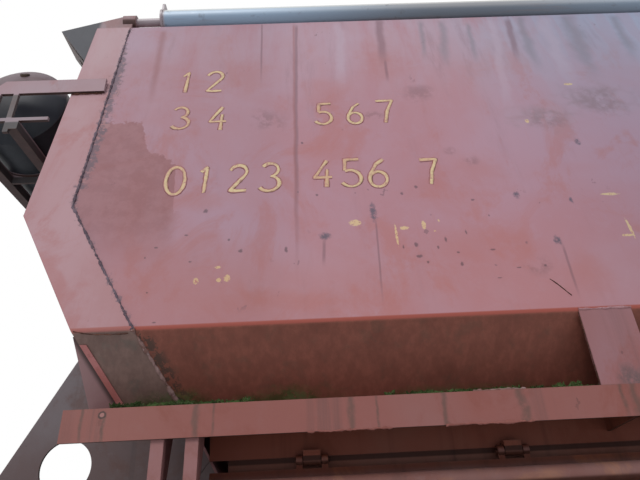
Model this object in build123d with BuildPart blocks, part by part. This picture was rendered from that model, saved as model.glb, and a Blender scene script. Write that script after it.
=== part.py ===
import os
from math import hypot, radians, sin, cos, tan

from build123d import *

# Self-discharging bogie hopper wagon, in millimetres. +X runs along the wagon, +Z is up.
# The origin is midway between the bogies, on the plane that the wheel flanges stand on.
# Ends: a at -X, b at +X. Sides: near at -Y, far at +Y. Pieces are drawn at end b and on
# the far side, and mirrored from there.

# Wheels and axles
flange_height = 28
flange_thickness = 36
tread_diameter = 920
back_to_back = 1360
rim_width = 135
rim_depth = 55
web_thickness = 28
web_inset = 55
hub_radius = 130
hub_length = 180
axle_radius = 80
seat_radius = 93
journal_radius = 65
journal_length = 180
axle_half_length = 1095
axle_z = flange_height + tread_diameter / 2

# Bogies
pivot_x = 3750
bogie_wheelbase = 1800
frame_y = 1000
frame_web = 40
frame_flange = 16
frame_width = 160
frame_top_z = 880
frame_half_length = 1500
frame_depth = (320, 160, 90)
frame_bend_x = (380, 560, 1240)
frame_corner = 60
bogie_beam_width = 100
bogie_beam_depth = 130
bogie_bolster_x = 190
bogie_bolster_depth = (260, 150)
pivot_radius = 190
pivot_gap = 0.3
bearer_y = 840
bearer_size = (180, 120)
bearer_gap = 10

# Axleboxes, springs and brake shoes
box_width = 250
box_above = 150
box_below = 130
box_y = (915, 1102)
box_cap = 26
box_cap_radius = 95
spring_radius = 80
spring_pitch = 215
seat_z = 410
seat_thickness = 30
bearing_gap = 0.3
shoe_gap = 8
shoe_thickness = 55
shoe_angle = 21
shoe_width = 78
brake_beam_radius = 32
brake_hanger = 20

# Underframe
headstock_x = 5650
headstock_y = 1290
headstock_z = (900, 1310)
headstock_depth = 120
headstock_plate = 15
sill_y = 215
sill_flange = 80
sill_plate = 14
sill_z = (1010, headstock_z[1] - headstock_plate)
bolster_x = 210
bolster_y = 1130
bolster_z = (985, 1280)
bolster_end = 180
cross_beam_z = (1030, 1180)
hanger_width = 42
hanger_depth = 30
hanger_pitch = 111

# Hopper: outline of the side, from the ledge up over the fold to the top edge
wall = 8
fold_radius = 26
foot_y = 1286
ledge_z = 1679
fold_y = 1500
fold_z = 1947
top_y = 1203
top_z = 3893
# Hopper: outline of the end, upright above the kink and sloping in below it
end_x = 4831
kink_z = 2532
end_slope = 59
# Saddle floor that sheds the load to both sides
ridge_z = 2400
lip_y = 1400
lip_z = 1050
saddle_frame_plate = 12
saddle_frame_hole = 170
tie_radius = 38
tie_z = 3300

# Posts, stanchions and ledge
post_width = 189
post_foot_width = 214
post_bend_drop = 45
post_plate = 12
post_proud = 4
web_inset_x = (120, 80)
stanchion_width = 190
stanchion_web = 14
stanchion_pitch = 1863
stanchion_count = 4
ledge_x = 4670
ledge_drop = 103
ledge_plate = 12

# Discharge doors
header_z = 1525
hinge_y = 1306
hinge_z = 1512
hinge_radius = 18
hinge_pin = 8
hinge_length = 60
hinges_per_door = 6
eye_length = 22
eye_gap = 3
door_plate = 10
door_lean = 14.2
door_start_x = 8
door_end_x = 4217
door_depth = 480
door_lip = 56
door_rib = 10
door_tube_radius = 32
door_tube_drop = 100
door_gap = 8

# Roof leaves on their torsion tubes
tube_y = 1163
tube_z = 3983
tube_radius = 66.5
leaf_x = 4662
leaf_plate = 6
leaf_end_plate = 12
leaf_gap = 12
leaf_rib = 8
leaf_rib_depth = 60
leaf_ribs = 6
ridge_top_z = 4272
crown_y = 600
crown_z = 4196
stub_radius = 24
sleeve_radius = 42
sleeve_x = (4813, 4886)
lever_height = 128
lever_width = 90

# Top rail, end deck and corner brackets
rail_width = 90
rail_height = 60
deck_crown_z = 4130
deck_start_x = 4690
bracket_apex = (4886, 4033)
bracket_tip = (5229, 3890)
bracket_foot = (5020, 3579)
bracket_plate = 12
bracket_hole = 32
bracket_shelf = 200

# Air reservoir and its bracket beams at end a
reservoir_radius = 260
reservoir_half_length = 1150
reservoir_dome = 80
reservoir_pole = 10
reservoir_gap = 0.3
reservoir_x = 5385
reservoir_z = 3360
beam_x = (4850, 5388)
beam_z = (3287, 3373)
beam_thick = 16
beam_corner = 32
strap_x = (5275, 5363)
strap_width = 25
strap_foot_z = 3040
carrier_x = (5096, 5545)
carrier_z = (3107, 3127)
saddle_y = 860
saddle_half = 150
saddle_height = 130
cradle_z = (3057, 3109)
cradle_x = (5235, 5485)
cradle_bar = 50

# Buffers and draw gear
buffer_y = 875
buffer_z = 1060 + flange_height
buffer_length = 620
buffer_base = 340
buffer_base_plate = 25
buffer_head_radius = 225
buffer_head = 45
hook_radius = 78
hook_throat = 34
hook_width = 50
hook_x = 240
coupler_bar = 17
coupler_y = 62
coupler_link = 250

# Platforms, steps and brake gear under the floor
platform_z = 1310
platform_plate = 10
platform_y = 1250
platform_start_x = 4560
gusset_y = 620
gusset_plate = 12
gusset_hole = 120
gusset_hole_z = 2020
side_member_y = 1200
ladder_y = 900
ladder_width = 400
ladder_x = 4905
ladder_rung = 11
ladder_step = 300
cylinder_radius = 200
cylinder_x = (-900, -380)
tank_radius = 170
tank_x = (300, 1250)
gear_y = 300
gear_z = 800
brake_rod_radius = 18
brake_rod_x = 2080


def slab(plane, outline, amount, both=False, mode=Mode.ADD):
    with BuildSketch(plane) as face:
        with BuildLine():
            Polyline(*outline, close=True)
        make_face()
    extrude(face.sketch, amount=amount, both=both, mode=mode)


def block(x, y, z, mode=Mode.ADD):
    with Locations(((x[0] + x[1]) / 2, (y[0] + y[1]) / 2, (z[0] + z[1]) / 2)):
        Box(abs(x[1] - x[0]), abs(y[1] - y[0]), abs(z[1] - z[0]), mode=mode)


def rod(start, end, radius, mode=Mode.ADD):
    along = Vector(*end) - Vector(*start)
    with BuildSketch(Plane(origin=start, z_dir=along)) as section:
        Circle(radius)
    extrude(section.sketch, amount=along.length, mode=mode)


def shifted(points, distance):
    """The corners of an open outline moved sideways by a distance, to its left."""
    moved = []
    for index, (u, v) in enumerate(points):
        normals = []
        for first, second in ((index - 1, index), (index, index + 1)):
            if first >= 0 and second < len(points):
                du = points[second][0] - points[first][0]
                dv = points[second][1] - points[first][1]
                normals.append((-dv / hypot(du, dv), du / hypot(du, dv)))
        nu = sum(n[0] for n in normals) / len(normals)
        nv = sum(n[1] for n in normals) / len(normals)
        scale = distance / (nu * nu + nv * nv)
        moved.append((u + nu * scale, v + nv * scale))
    return moved


def band(points, outside, inside):
    """A bent plate's section: from one sideways shift of an outline to another."""
    return shifted(points, outside) + shifted(points, inside)[::-1]


def mirrored(piece, plane):
    with BuildPart() as copy:
        mirror(piece.part, about=plane)
    return copy


def write(piece, label):
    piece.part.label = label
    export_step(piece.part, f"parts/{label}.step")


def write_sides(piece, label, suffix=""):
    write(mirrored(piece, Plane.XZ), f"{label}_near{suffix}")
    write(piece, f"{label}_far{suffix}")


def write_ends(piece, label):
    write(mirrored(piece, Plane.YZ), f"{label}_a")
    write(piece, f"{label}_b")


os.makedirs("parts", exist_ok=True)

lean = (fold_y - top_y) / (top_z - fold_z)
end_run = 1 / tan(radians(end_slope))
floor_drop = (ridge_z - lip_z) / lip_y


def side_at(z):
    """Half-width of the hopper's outside on the upper panel."""
    return fold_y - (z - fold_z) * lean


def inner_at(z):
    """Half-width of the hopper's inside on the upper panel."""
    return side_at(z) - wall * hypot(1, lean)


def panel_at(y):
    """Height of the lower panel's outside at a half-width."""
    return ledge_z + (y - foot_y) * (fold_z - ledge_z) / (fold_y - foot_y)


def end_at(z):
    """Place along X of the hopper's outside at its sloping end."""
    return end_x - max(0, kink_z - z) * end_run


side_line = [(foot_y, ledge_z), (fold_y, fold_z), (top_y, top_z)]
post_start_x = end_at(ledge_z) - post_width
post_end_x = end_x + 2 * post_width

# Side walls: one folded sheet each
with BuildPart() as side_wall:
    slab(Plane.YZ.offset(-end_x), band(side_line, 0, wall), 2 * end_x)
    fillet(side_wall.edges().filter_by(Axis.X).sort_by(Axis.Y)[-1], radius=fold_radius)
    heights = (ledge_z, fold_z, kink_z, top_z)
    side_outline = [(end_at(z), z) for z in heights] + [(-end_at(z), z) for z in reversed(heights)]
    slab(Plane.XZ, side_outline, -2 * fold_y, mode=Mode.INTERSECT)
write_sides(side_wall, "side_wall")

# End walls: upright above, sloping below, cut to the sides, the saddle and the door plane
inside = shifted(side_line, wall)
door_top_y = hinge_y - hinge_radius
chute = [(lip_y, lip_z), (door_top_y, header_z - hinge_radius), (foot_y - wall, header_z),
         (foot_y - wall, ledge_z), inside[0], inside[1], (inner_at(top_z), top_z)]
hopper_section = [(0, ridge_z)] + chute + [(-y, z) for y, z in reversed(chute)]
end_line = [(end_at(lip_z), lip_z), (end_x, kink_z), (end_x, top_z)]
deck_y = inner_at(top_z)
with BuildPart() as end_wall:
    slab(Plane.XZ.offset(-fold_y), band(end_line, 0, wall), 2 * fold_y)
    slab(Plane.YZ, hopper_section, end_x, mode=Mode.INTERSECT)
    for inset, depth, mode in ((0, end_x - deck_start_x, Mode.ADD),
                               (wall, end_x - deck_start_x - wall, Mode.SUBTRACT)):
        with BuildSketch(Plane.YZ.offset(deck_start_x)) as deck:
            with BuildLine():
                Line((inset - deck_y, top_z), (deck_y - inset, top_z))
                ThreePointArc((deck_y - inset, top_z), (0, deck_crown_z - inset), (inset - deck_y, top_z))
            make_face()
        extrude(deck.sketch, amount=depth, mode=mode)
write_ends(end_wall, "end_wall")

# Saddle floor: a sloping plate each side of the ridge
floor_inset = wall / sin(radians(end_slope))
with BuildPart() as saddle_floor:
    slab(Plane.YZ.offset(-end_x), band([(0, ridge_z), (lip_y, lip_z)], 0, -wall), 2 * end_x)
    block((-end_x, end_x), (0, fold_y), (0, top_z), mode=Mode.INTERSECT)
    floor_ends = [(end_at(z) - floor_inset, z) for z in (0, kink_z)]
    slab(Plane.XZ, floor_ends + [(-x, z) for x, z in reversed(floor_ends)], -2 * fold_y,
         mode=Mode.INTERSECT)
write_sides(saddle_floor, "saddle_floor")

# Frames under the saddle, on the centre sill, with lightening holes
stanchion_places = [stanchion_pitch * (n - (stanchion_count - 1) / 2) for n in range(stanchion_count)]
peak_z = ridge_z - wall * hypot(1, floor_drop)
foot_half = (peak_z - sill_z[1]) / floor_drop
with BuildPart() as saddle_frames:
    for x in [-pivot_x, *stanchion_places, pivot_x]:
        slab(Plane.YZ.offset(x), [(0, peak_z), (foot_half, sill_z[1]), (-foot_half, sill_z[1])],
             saddle_frame_plate / 2, both=True)
        with BuildSketch(Plane.YZ.offset(x)) as holes:
            with Locations((0, sill_z[1] + 2.6 * saddle_frame_hole),
                           (-2.8 * saddle_frame_hole, sill_z[1] + 1.2 * saddle_frame_hole),
                           (2.8 * saddle_frame_hole, sill_z[1] + 1.2 * saddle_frame_hole)):
                Circle(saddle_frame_hole * 0.8)
        extrude(holes.sketch, amount=saddle_frame_plate, both=True, mode=Mode.SUBTRACT)
write(saddle_frames, "saddle_frames")

# Ties across the hopper, at the stanchions
with BuildPart() as hopper_ties:
    for x in stanchion_places:
        rod((x, -fold_y, tie_z), (x, fold_y, tie_z), tie_radius)
    slab(Plane.YZ.offset(-end_x), [(inner_at(fold_z), fold_z), (inner_at(top_z), top_z),
                                   (-inner_at(top_z), top_z), (-inner_at(fold_z), fold_z)],
         2 * end_x, mode=Mode.INTERSECT)
write(hopper_ties, "hopper_ties")

# Ledge: inverted angle, its strip facing outwards
strip_z = ledge_z - ledge_drop
with BuildPart() as ledge:
    slab(Plane.YZ.offset(-ledge_x),
         [(foot_y - wall, ledge_z), (fold_y, ledge_z), (fold_y, strip_z), (fold_y - ledge_plate, strip_z),
          (fold_y - ledge_plate, ledge_z - ledge_plate), (foot_y - wall, ledge_z - ledge_plate)],
         2 * ledge_x)
write_sides(ledge, "ledge")

# Door header under the ledge: gussets, fixed knuckles and their pins
hinge_pitch = (door_end_x - door_start_x) / hinges_per_door
hinge_places = [door_start_x + hinge_pitch * (n + 0.5) for n in range(hinges_per_door)]
with BuildPart() as door_header:
    block((-end_at(header_z), end_at(header_z)), (foot_y - wall, foot_y), (header_z, ledge_z - ledge_plate))
    for x in stanchion_places:
        slab(Plane.YZ.offset(x),
             [(foot_y, ledge_z - ledge_plate), (fold_y - ledge_plate, ledge_z - ledge_plate),
              (fold_y - ledge_plate, strip_z), (foot_y, header_z + 2 * hinge_radius)],
             stanchion_web / 2, both=True)
    for x in [end * place for end in (-1, 1) for place in hinge_places]:
        rod((x - hinge_length / 2, hinge_y, hinge_z), (x + hinge_length / 2, hinge_y, hinge_z),
            hinge_radius)
        block((x - hinge_length / 2, x + hinge_length / 2), (foot_y, hinge_y + hinge_radius),
              (hinge_z, header_z + hinge_radius))
        rod((x - hinge_length, hinge_y, hinge_z), (x + hinge_length, hinge_y, hinge_z), hinge_pin)
write_sides(door_header, "door_header")

# Discharge doors: plate with a lip and ribs, stiffening tube, and strap eyes on the pins.
# The section is drawn down the door: first along it from the hinge, then outwards from it.
door_section = Plane(origin=(0, hinge_y, hinge_z), z_dir=(1, 0, 0),
                     x_dir=(0, sin(radians(door_lean)), -cos(radians(door_lean))))
door_length = door_end_x - door_start_x
plate_top = hinge_radius + 12
plate_foot = hinge_radius + door_depth
face_v = door_plate / 2
tube_v = face_v + door_tube_radius
with BuildPart() as door:
    with BuildSketch(door_section.offset(door_start_x)) as plate:
        with BuildLine():
            Polyline((plate_top, -face_v), (plate_foot, -face_v), (plate_foot, door_lip),
                     (plate_foot - door_plate, door_lip), (plate_foot - door_plate, face_v),
                     (plate_top, face_v), close=True)
        make_face()
        with Locations((door_tube_drop, tube_v - 3)):
            Circle(door_tube_radius)
    extrude(plate.sketch, amount=door_length)
    for place in hinge_places:
        slab(door_section.offset(place),
             [(door_tube_drop + door_tube_radius, face_v - 1), (plate_foot - door_plate / 2, face_v - 1),
              (plate_foot - door_plate / 2, door_lip), (door_tube_drop + door_tube_radius / 2, tube_v)],
             door_rib / 2, both=True)
        for side in (-1, 1):
            eye_x = place + side * (hinge_length / 2 + eye_gap + eye_length / 2)
            with BuildSketch(door_section.offset(eye_x)) as eye:
                Circle(hinge_radius)
                with Locations((plate_top, 0)):
                    Rectangle(2 * plate_top, door_plate)
                Circle(hinge_pin + bearing_gap, mode=Mode.SUBTRACT)
            extrude(eye.sketch, amount=eye_length / 2, both=True)
write_sides(mirrored(door, Plane.YZ), "door", "_a")
write_sides(door, "door", "_b")

# Corner posts: a flange that follows the end outline, and a web set back behind its foot
with BuildPart() as post_flange:
    slab(Plane.YZ.offset(post_start_x), band(side_line, -post_proud, post_plate - post_proud),
         post_end_x - post_start_x)
    fillet(post_flange.edges().filter_by(Axis.X).sort_by(Axis.Y)[-1], radius=fold_radius + post_proud)
    outer =[(end_at(ledge_z) + post_foot_width, ledge_z), (end_at(fold_z) + post_foot_width, fold_z),
             (end_x + post_width, kink_z - post_bend_drop), (end_x + post_width, top_z)]
    inner = [(end_at(z), z) for z in (top_z, kink_z, fold_z, ledge_z)]
    slab(Plane.XZ, outer + inner, -2 * fold_y, mode=Mode.INTERSECT)
with BuildPart() as post_web:
    slab(Plane.YZ.offset(post_start_x),
         band(side_line[:2], post_plate - post_proud, 2 * post_plate - post_proud),
         post_end_x - post_start_x)
    slab(Plane.XZ, [(end_at(ledge_z) + web_inset_x[0], ledge_z), (ledge_x - wall, ledge_z),
                    (end_at(fold_z) + post_foot_width, fold_z - post_plate),
                    (end_at(fold_z) + web_inset_x[1], fold_z - post_plate)], -2 * fold_y,
         mode=Mode.INTERSECT)
with BuildPart() as corner_post:
    add(post_flange.part)
    add(post_web.part)
write_sides(mirrored(corner_post, Plane.YZ), "corner_post", "_a")
write_sides(corner_post, "corner_post", "_b")

# Stanchions between the ledge and the fold
back_y = fold_y - post_plate
with BuildPart() as stanchions:
    for x in stanchion_places:
        slab(Plane.YZ.offset(x), [(back_y, ledge_z), (fold_y, ledge_z), (fold_y, fold_z),
                                  (back_y, panel_at(back_y))], stanchion_width / 2, both=True)
        slab(Plane.YZ.offset(x), [(foot_y, ledge_z), (back_y, ledge_z), (back_y, panel_at(back_y))],
             stanchion_web / 2, both=True)
write_sides(stanchions, "stanchions")

# Top rail inside the upper edge of each side
with BuildPart() as top_rail:
    slab(Plane.YZ.offset(-deck_start_x),
         [(inner_at(top_z), top_z), (inner_at(top_z) - rail_width, top_z),
          (inner_at(top_z) - rail_width, top_z - rail_height),
          (inner_at(top_z - rail_height), top_z - rail_height)], 2 * deck_start_x)
write_sides(top_rail, "top_rail")

# Roof bearings: sleeve on its pedestal, and the triangular corner bracket with its sloping shelf
upper_line = [(fold_y, fold_z), (side_at(bracket_apex[1]), bracket_apex[1])]
with BuildPart() as bracket_sheet:
    slab(Plane.YZ.offset(end_x),
         band(upper_line, post_plate - post_proud, post_plate - post_proud + bracket_plate),
         bracket_tip[0] - end_x)
    slab(Plane.XZ, [(end_x, tube_z + stub_radius), bracket_apex, bracket_tip, bracket_foot,
                    (bracket_foot[0] - rail_height, bracket_foot[1]), (end_x, top_z - rail_height)],
         -2 * fold_y, mode=Mode.INTERSECT)
with BuildPart() as roof_bearing:
    add(bracket_sheet.part)
    slope = Vector(bracket_tip[0] - bracket_foot[0], 0, bracket_tip[1] - bracket_foot[1])
    shelf_y = side_at(bracket_tip[1]) - post_plate - bracket_plate / 2 - bracket_shelf / 2
    flat = Plane(origin=((bracket_tip[0] + bracket_foot[0]) / 2, shelf_y,
                         (bracket_tip[1] + bracket_foot[1]) / 2),
                 x_dir=slope, z_dir=slope.cross(Vector(0, 1, 0)))
    with BuildSketch(flat) as shelf:
        Rectangle(slope.length, bracket_shelf)
        Circle(bracket_hole, mode=Mode.SUBTRACT)
    extrude(shelf.sketch, amount=bracket_plate)
    rod((sleeve_x[0], tube_y, tube_z), (sleeve_x[1], tube_y, tube_z), sleeve_radius)
    block((end_x, sleeve_x[1]), (tube_y - sleeve_radius / 2, tube_y + sleeve_radius / 2), (top_z, tube_z))
    rod((sleeve_x[0] - 1, tube_y, tube_z), (sleeve_x[1] + 1, tube_y, tube_z),
        stub_radius + bearing_gap, mode=Mode.SUBTRACT)
with BuildPart() as roof_bearings:
    add(roof_bearing.part)
    mirror(roof_bearing.part, about=Plane.XZ)
write_ends(roof_bearings, "roof_bearings")

# Roof leaves: torsion tube with its levers and stubs, and the arched sheet with its bows
with BuildPart() as roof_tube:
    rod((-leaf_x, tube_y, tube_z), (leaf_x, tube_y, tube_z), tube_radius)
    for end in (-1, 1):
        rod((end * leaf_x, tube_y, tube_z), (end * (sleeve_x[1] - 2), tube_y, tube_z), stub_radius)
        with BuildSketch(Plane.YZ.offset(end * (leaf_x - leaf_end_plate / 2))) as lever:
            with Locations((tube_y, tube_z)):
                Circle(tube_radius + leaf_plate)
            with Locations((tube_y, tube_z + lever_height / 2)):
                Rectangle(lever_width, lever_height)
            fillet(lever.vertices().group_by(Axis.Y)[-1], radius=lever_width / 3)
        extrude(lever.sketch, amount=leaf_end_plate / 2, both=True)
write_sides(roof_tube, "roof_tube")

sheet_z = tube_z + tube_radius
sheet_x = leaf_x - leaf_end_plate - eye_gap
rib_foot_y = tube_y - tube_radius - 2 * bearing_gap


def leaf_arch(drop, outer_y):
    """The roof's arch, lowered, from its outer edge to the ridge."""
    return ThreePointArc((outer_y, sheet_z + leaf_plate - drop), (crown_y, crown_z - drop),
                         (leaf_gap / 2, ridge_top_z - drop))


with BuildPart() as roof_skin:
    spans = [(-sheet_x, 2 * sheet_x, leaf_plate, tube_y)]
    rib_pitch = (2 * sheet_x - leaf_rib) / (leaf_ribs - 1)
    spans += [(rib_pitch * n - sheet_x, leaf_rib, leaf_rib_depth, rib_foot_y) for n in range(leaf_ribs)]
    for start_x, length, depth, outer_y in spans:
        with BuildSketch(Plane.YZ.offset(start_x)) as section:
            with BuildLine():
                upper = leaf_arch(0 if outer_y == tube_y else leaf_plate / 2, outer_y)
                lower = leaf_arch(depth, outer_y)
                Line(upper @ 0, lower @ 0)
                Line(upper @ 1, lower @ 1)
            make_face()
        extrude(section.sketch, amount=length)
write_sides(roof_skin, "roof_skin")

# Underframe
with BuildPart() as centre_sill:
    sill_x = headstock_x - headstock_plate
    for side in (-1, 1):
        section = [(sill_y, sill_z[0]), (sill_y - sill_flange, sill_z[0]),
                   (sill_y - sill_flange, sill_z[0] + sill_plate),
                   (sill_y - sill_plate, sill_z[0] + sill_plate),
                   (sill_y - sill_plate, sill_z[1] - sill_plate),
                   (sill_y - sill_flange, sill_z[1] - sill_plate),
                   (sill_y - sill_flange, sill_z[1]), (sill_y, sill_z[1])]
        slab(Plane.YZ.offset(-sill_x), [(side * y, z) for y, z in section], 2 * sill_x)
write(centre_sill, "centre_sill")

with BuildPart() as headstock:
    block((headstock_x - headstock_depth, headstock_x), (-headstock_y, headstock_y), headstock_z)
    block((headstock_x - headstock_depth, headstock_x - headstock_plate),
          (-headstock_y - 1, headstock_y + 1),
          (headstock_z[0] + headstock_plate, headstock_z[1] - headstock_plate), mode=Mode.SUBTRACT)
    for y in (-buffer_y - buffer_base / 2, -buffer_y + buffer_base / 2, buffer_y - buffer_base / 2,
              buffer_y + buffer_base / 2):
        block((headstock_x - headstock_depth, headstock_x - headstock_plate),
              (y - headstock_plate / 2, y + headstock_plate / 2), headstock_z)
write_ends(headstock, "headstock")


def bolster_under(y):
    """Height of the body bolster's underside at a half-width."""
    rise = bolster_z[1] - bolster_end - bolster_z[0]
    return bolster_z[0] + rise * (y - sill_y) / (bolster_y - sill_y)


bearer_z = bolster_under(bearer_y + bearer_size[1] / 2) - 2 * bearer_size[1] / 3
with BuildPart() as bolster:
    for side in (-1, 1):
        slab(Plane.YZ.offset(pivot_x - bolster_x),
             [(side * sill_y, bolster_z[0]), (side * bolster_y, bolster_z[1] - bolster_end),
              (side * bolster_y, bolster_z[1]), (side * sill_y, sill_z[1])], 2 * bolster_x)
        block((pivot_x - bearer_size[0] / 2, pivot_x + bearer_size[0] / 2),
              (side * (bearer_y - bearer_size[1] / 2), side * (bearer_y + bearer_size[1] / 2)),
              (bearer_z, bolster_under(bearer_y) + sill_plate))
    block((pivot_x - bolster_x, pivot_x + bolster_x), (-sill_y, sill_y), (bolster_z[0], sill_z[0]))
write_ends(bolster, "bolster")

beam_start_x = door_end_x + door_gap
hanger_places = (beam_start_x + hanger_width / 2, beam_start_x + hanger_width / 2 + hanger_pitch)
with BuildPart() as cross_beam:
    for side in (-1, 1):
        block((beam_start_x, beam_start_x + hanger_pitch + hanger_width),
              (side * sill_y, side * (fold_y - ledge_plate)), cross_beam_z)
        for x in hanger_places:
            block((x - hanger_width / 2, x + hanger_width / 2),
                  (side * (fold_y - ledge_plate), side * (fold_y - ledge_plate - hanger_depth)),
                  (cross_beam_z[1], ledge_z - ledge_plate))
            slab(Plane.YZ.offset(x),
                 [(side * (fold_y - ledge_plate - hanger_depth), cross_beam_z[1]),
                  (side * (fold_y - ledge_plate - hanger_depth), ledge_z - ledge_plate),
                  (side * (foot_y + hinge_radius), ledge_z - ledge_plate),
                  (side * (fold_y - 3 * hanger_depth), cross_beam_z[1] + 2 * hinge_length),
                  (side * (fold_y - 4 * hanger_depth), cross_beam_z[1])], sill_plate / 2, both=True)
write_ends(cross_beam, "cross_beam")

# End platforms: deck, side members and the gussets that carry the hopper's end
slope_foot_z = platform_z + 350
with BuildPart() as end_platform:
    block((platform_start_x, headstock_x), (-platform_y, platform_y),
          (platform_z, platform_z + platform_plate))
    for side in (-1, 1):
        block((platform_start_x, headstock_x - headstock_depth),
              (side * side_member_y, side * (side_member_y + sill_plate)), (platform_z - 160, platform_z))
        slab(Plane.XZ.offset(-side * gusset_y),
             [(end_at(kink_z), kink_z), (end_at(slope_foot_z), slope_foot_z),
              (platform_start_x, platform_z + platform_plate),
              (headstock_x - 200, platform_z + platform_plate)], gusset_plate / 2, both=True)
        with BuildSketch(Plane.XZ.offset(-side * gusset_y)) as gusset_holes:
            with Locations((end_x + post_width, slope_foot_z - 60), (end_x - wall, gusset_hole_z)):
                Circle(gusset_hole)
        extrude(gusset_holes.sketch, amount=gusset_plate, both=True, mode=Mode.SUBTRACT)
write_ends(end_platform, "end_platform")

# Ladder up end b, on stand-offs from the end wall
rungs = int((top_z - platform_z) / ladder_step)
with BuildPart() as ladder:
    for side in (-1, 1):
        y = -ladder_y + side * ladder_width / 2
        block((ladder_x - 25, ladder_x + 25), (y - 5, y + 5), (platform_z + platform_plate, top_z))
        for z in (kink_z + 150, top_z - 300):
            block((end_x, ladder_x - 25), (y - 5, y + 5), (z - 25, z + 25))
    for n in range(rungs):
        z = platform_z + ladder_step * (n + 1)
        rod((ladder_x, -ladder_y - ladder_width / 2, z), (ladder_x, -ladder_y + ladder_width / 2, z),
            ladder_rung)
write(ladder, "ladder")

# Air reservoir across end a, on its two bracket beams
beam_y = side_at(beam_z[0]) + post_proud * hypot(1, lean)
with BuildPart() as reservoir:
    with BuildSketch(Plane(origin=(-reservoir_x, 0, reservoir_z), x_dir=(0, 1, 0), z_dir=(1, 0, 0))):
        with BuildLine():
            pole_y = reservoir_half_length + reservoir_dome
            Polyline((pole_y, reservoir_pole), (pole_y, 0), (-pole_y, 0), (-pole_y, reservoir_pole))
            Line((-reservoir_half_length, reservoir_radius),
                 (reservoir_half_length, reservoir_radius))
            bulge_y = reservoir_half_length + 0.72 * reservoir_dome
            for side in (-1, 1):
                ThreePointArc((side * reservoir_half_length, reservoir_radius),
                              (side * bulge_y, 0.62 * reservoir_radius), (side * pole_y, reservoir_pole))
        make_face()
    revolve(axis=Axis((-reservoir_x, 0, reservoir_z), (0, 1, 0)))
write(reservoir, "air_reservoir")
with BuildPart() as reservoir_brackets:
    for side in (-1, 1):
        slab(Plane.XZ.offset(-side * beam_y),
             [(-beam_x[0], beam_z[0]), (-beam_x[1], beam_z[0]), (-beam_x[1], beam_z[1] - beam_corner),
              (-beam_x[1] + beam_corner, beam_z[1]), (-beam_x[0], beam_z[1])], -side * beam_thick)
        for x in strap_x:
            block((-x - strap_width, -x), (side * beam_y, side * (beam_y + beam_thick)),
                  (strap_foot_z, beam_z[0] + 1))
        block((-carrier_x[1], -carrier_x[0]), (side * beam_y, side * (beam_y + beam_thick)), carrier_z)
        block((-reservoir_x - saddle_half, -reservoir_x + saddle_half),
              (side * saddle_y, side * (saddle_y + bracket_plate)),
              (cradle_z[0], cradle_z[1] + saddle_height))
    for x in cradle_x:
        block((-x - cradle_bar, -x), (-beam_y - beam_thick, beam_y + beam_thick), cradle_z)
    rod((-reservoir_x, -reservoir_half_length, reservoir_z),
        (-reservoir_x, reservoir_half_length, reservoir_z),
        reservoir_radius + reservoir_gap, mode=Mode.SUBTRACT)
write(reservoir_brackets, "reservoir_brackets")

# Buffers: base plate, tapered housing, plunger and head, turned about their own axis
housing = [(0, buffer_base_plate), (135, buffer_base_plate), (128, 300), (138, 304), (138, 340),
           (98, 344), (95, 520), (120, buffer_length - buffer_head),
           (buffer_head_radius - 12, buffer_length - buffer_head),
           (buffer_head_radius, buffer_length - buffer_head + 12), (buffer_head_radius, buffer_length - 14),
           (buffer_head_radius - 30, buffer_length), (0, buffer_length)]
with BuildPart() as buffers:
    for side in (-1, 1):
        with BuildSketch(Plane(origin=(headstock_x, side * buffer_y, buffer_z), x_dir=(0, 1, 0),
                               z_dir=(0, 0, -1))) as half:
            with BuildLine():
                Polyline(*housing, close=True)
            make_face()
        revolve(half.sketch, axis=Axis((headstock_x, side * buffer_y, buffer_z), (1, 0, 0)))
        block((headstock_x, headstock_x + buffer_base_plate),
              (side * buffer_y - buffer_base / 2, side * buffer_y + buffer_base / 2),
              (buffer_z - buffer_base / 2, buffer_z + buffer_base / 2))
write_ends(buffers, "buffers")

# Draw hook, with its screw coupling hanging from it
with BuildPart() as draw_gear:
    block((headstock_x, headstock_x + 30), (-110, 110), (buffer_z - 110, buffer_z + 110))
    block((headstock_x + 30, headstock_x + hook_x - hook_radius / 2), (-hook_width / 2, hook_width / 2),
          (buffer_z - 40, buffer_z + 40))
    with BuildSketch(Plane.XZ) as hook:
        with Locations((headstock_x + hook_x, buffer_z)):
            Circle(hook_radius)
        with Locations((headstock_x + hook_x + 8, buffer_z + 14)):
            Circle(hook_throat, mode=Mode.SUBTRACT)
        with Locations((headstock_x + hook_x + 8, buffer_z + 14 + hook_radius / 2)):
            Rectangle(hook_throat * 1.5, hook_radius, mode=Mode.SUBTRACT)
    extrude(hook.sketch, amount=hook_width / 2, both=True)
    link_x = headstock_x + hook_x - hook_radius / 2
    link_z = buffer_z - 62
    rod((link_x, -coupler_y - coupler_bar, link_z), (link_x, coupler_y + coupler_bar, link_z), coupler_bar)
    for side in (-1, 1):
        rod((link_x, side * coupler_y, link_z), (link_x, side * coupler_y, link_z - coupler_link),
            coupler_bar)
        rod((link_x, side * coupler_y, link_z - coupler_link),
            (link_x, side * coupler_y / 2, link_z - 1.8 * coupler_link), coupler_bar)
    rod((link_x, -1.4 * coupler_y, link_z - coupler_link), (link_x, 1.4 * coupler_y, link_z - coupler_link),
        2 * coupler_bar)
    rod((link_x, -coupler_y / 2 - coupler_bar, link_z - 1.8 * coupler_link),
        (link_x, coupler_y / 2 + coupler_bar, link_z - 1.8 * coupler_link), coupler_bar)
write_ends(draw_gear, "draw_gear")

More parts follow.
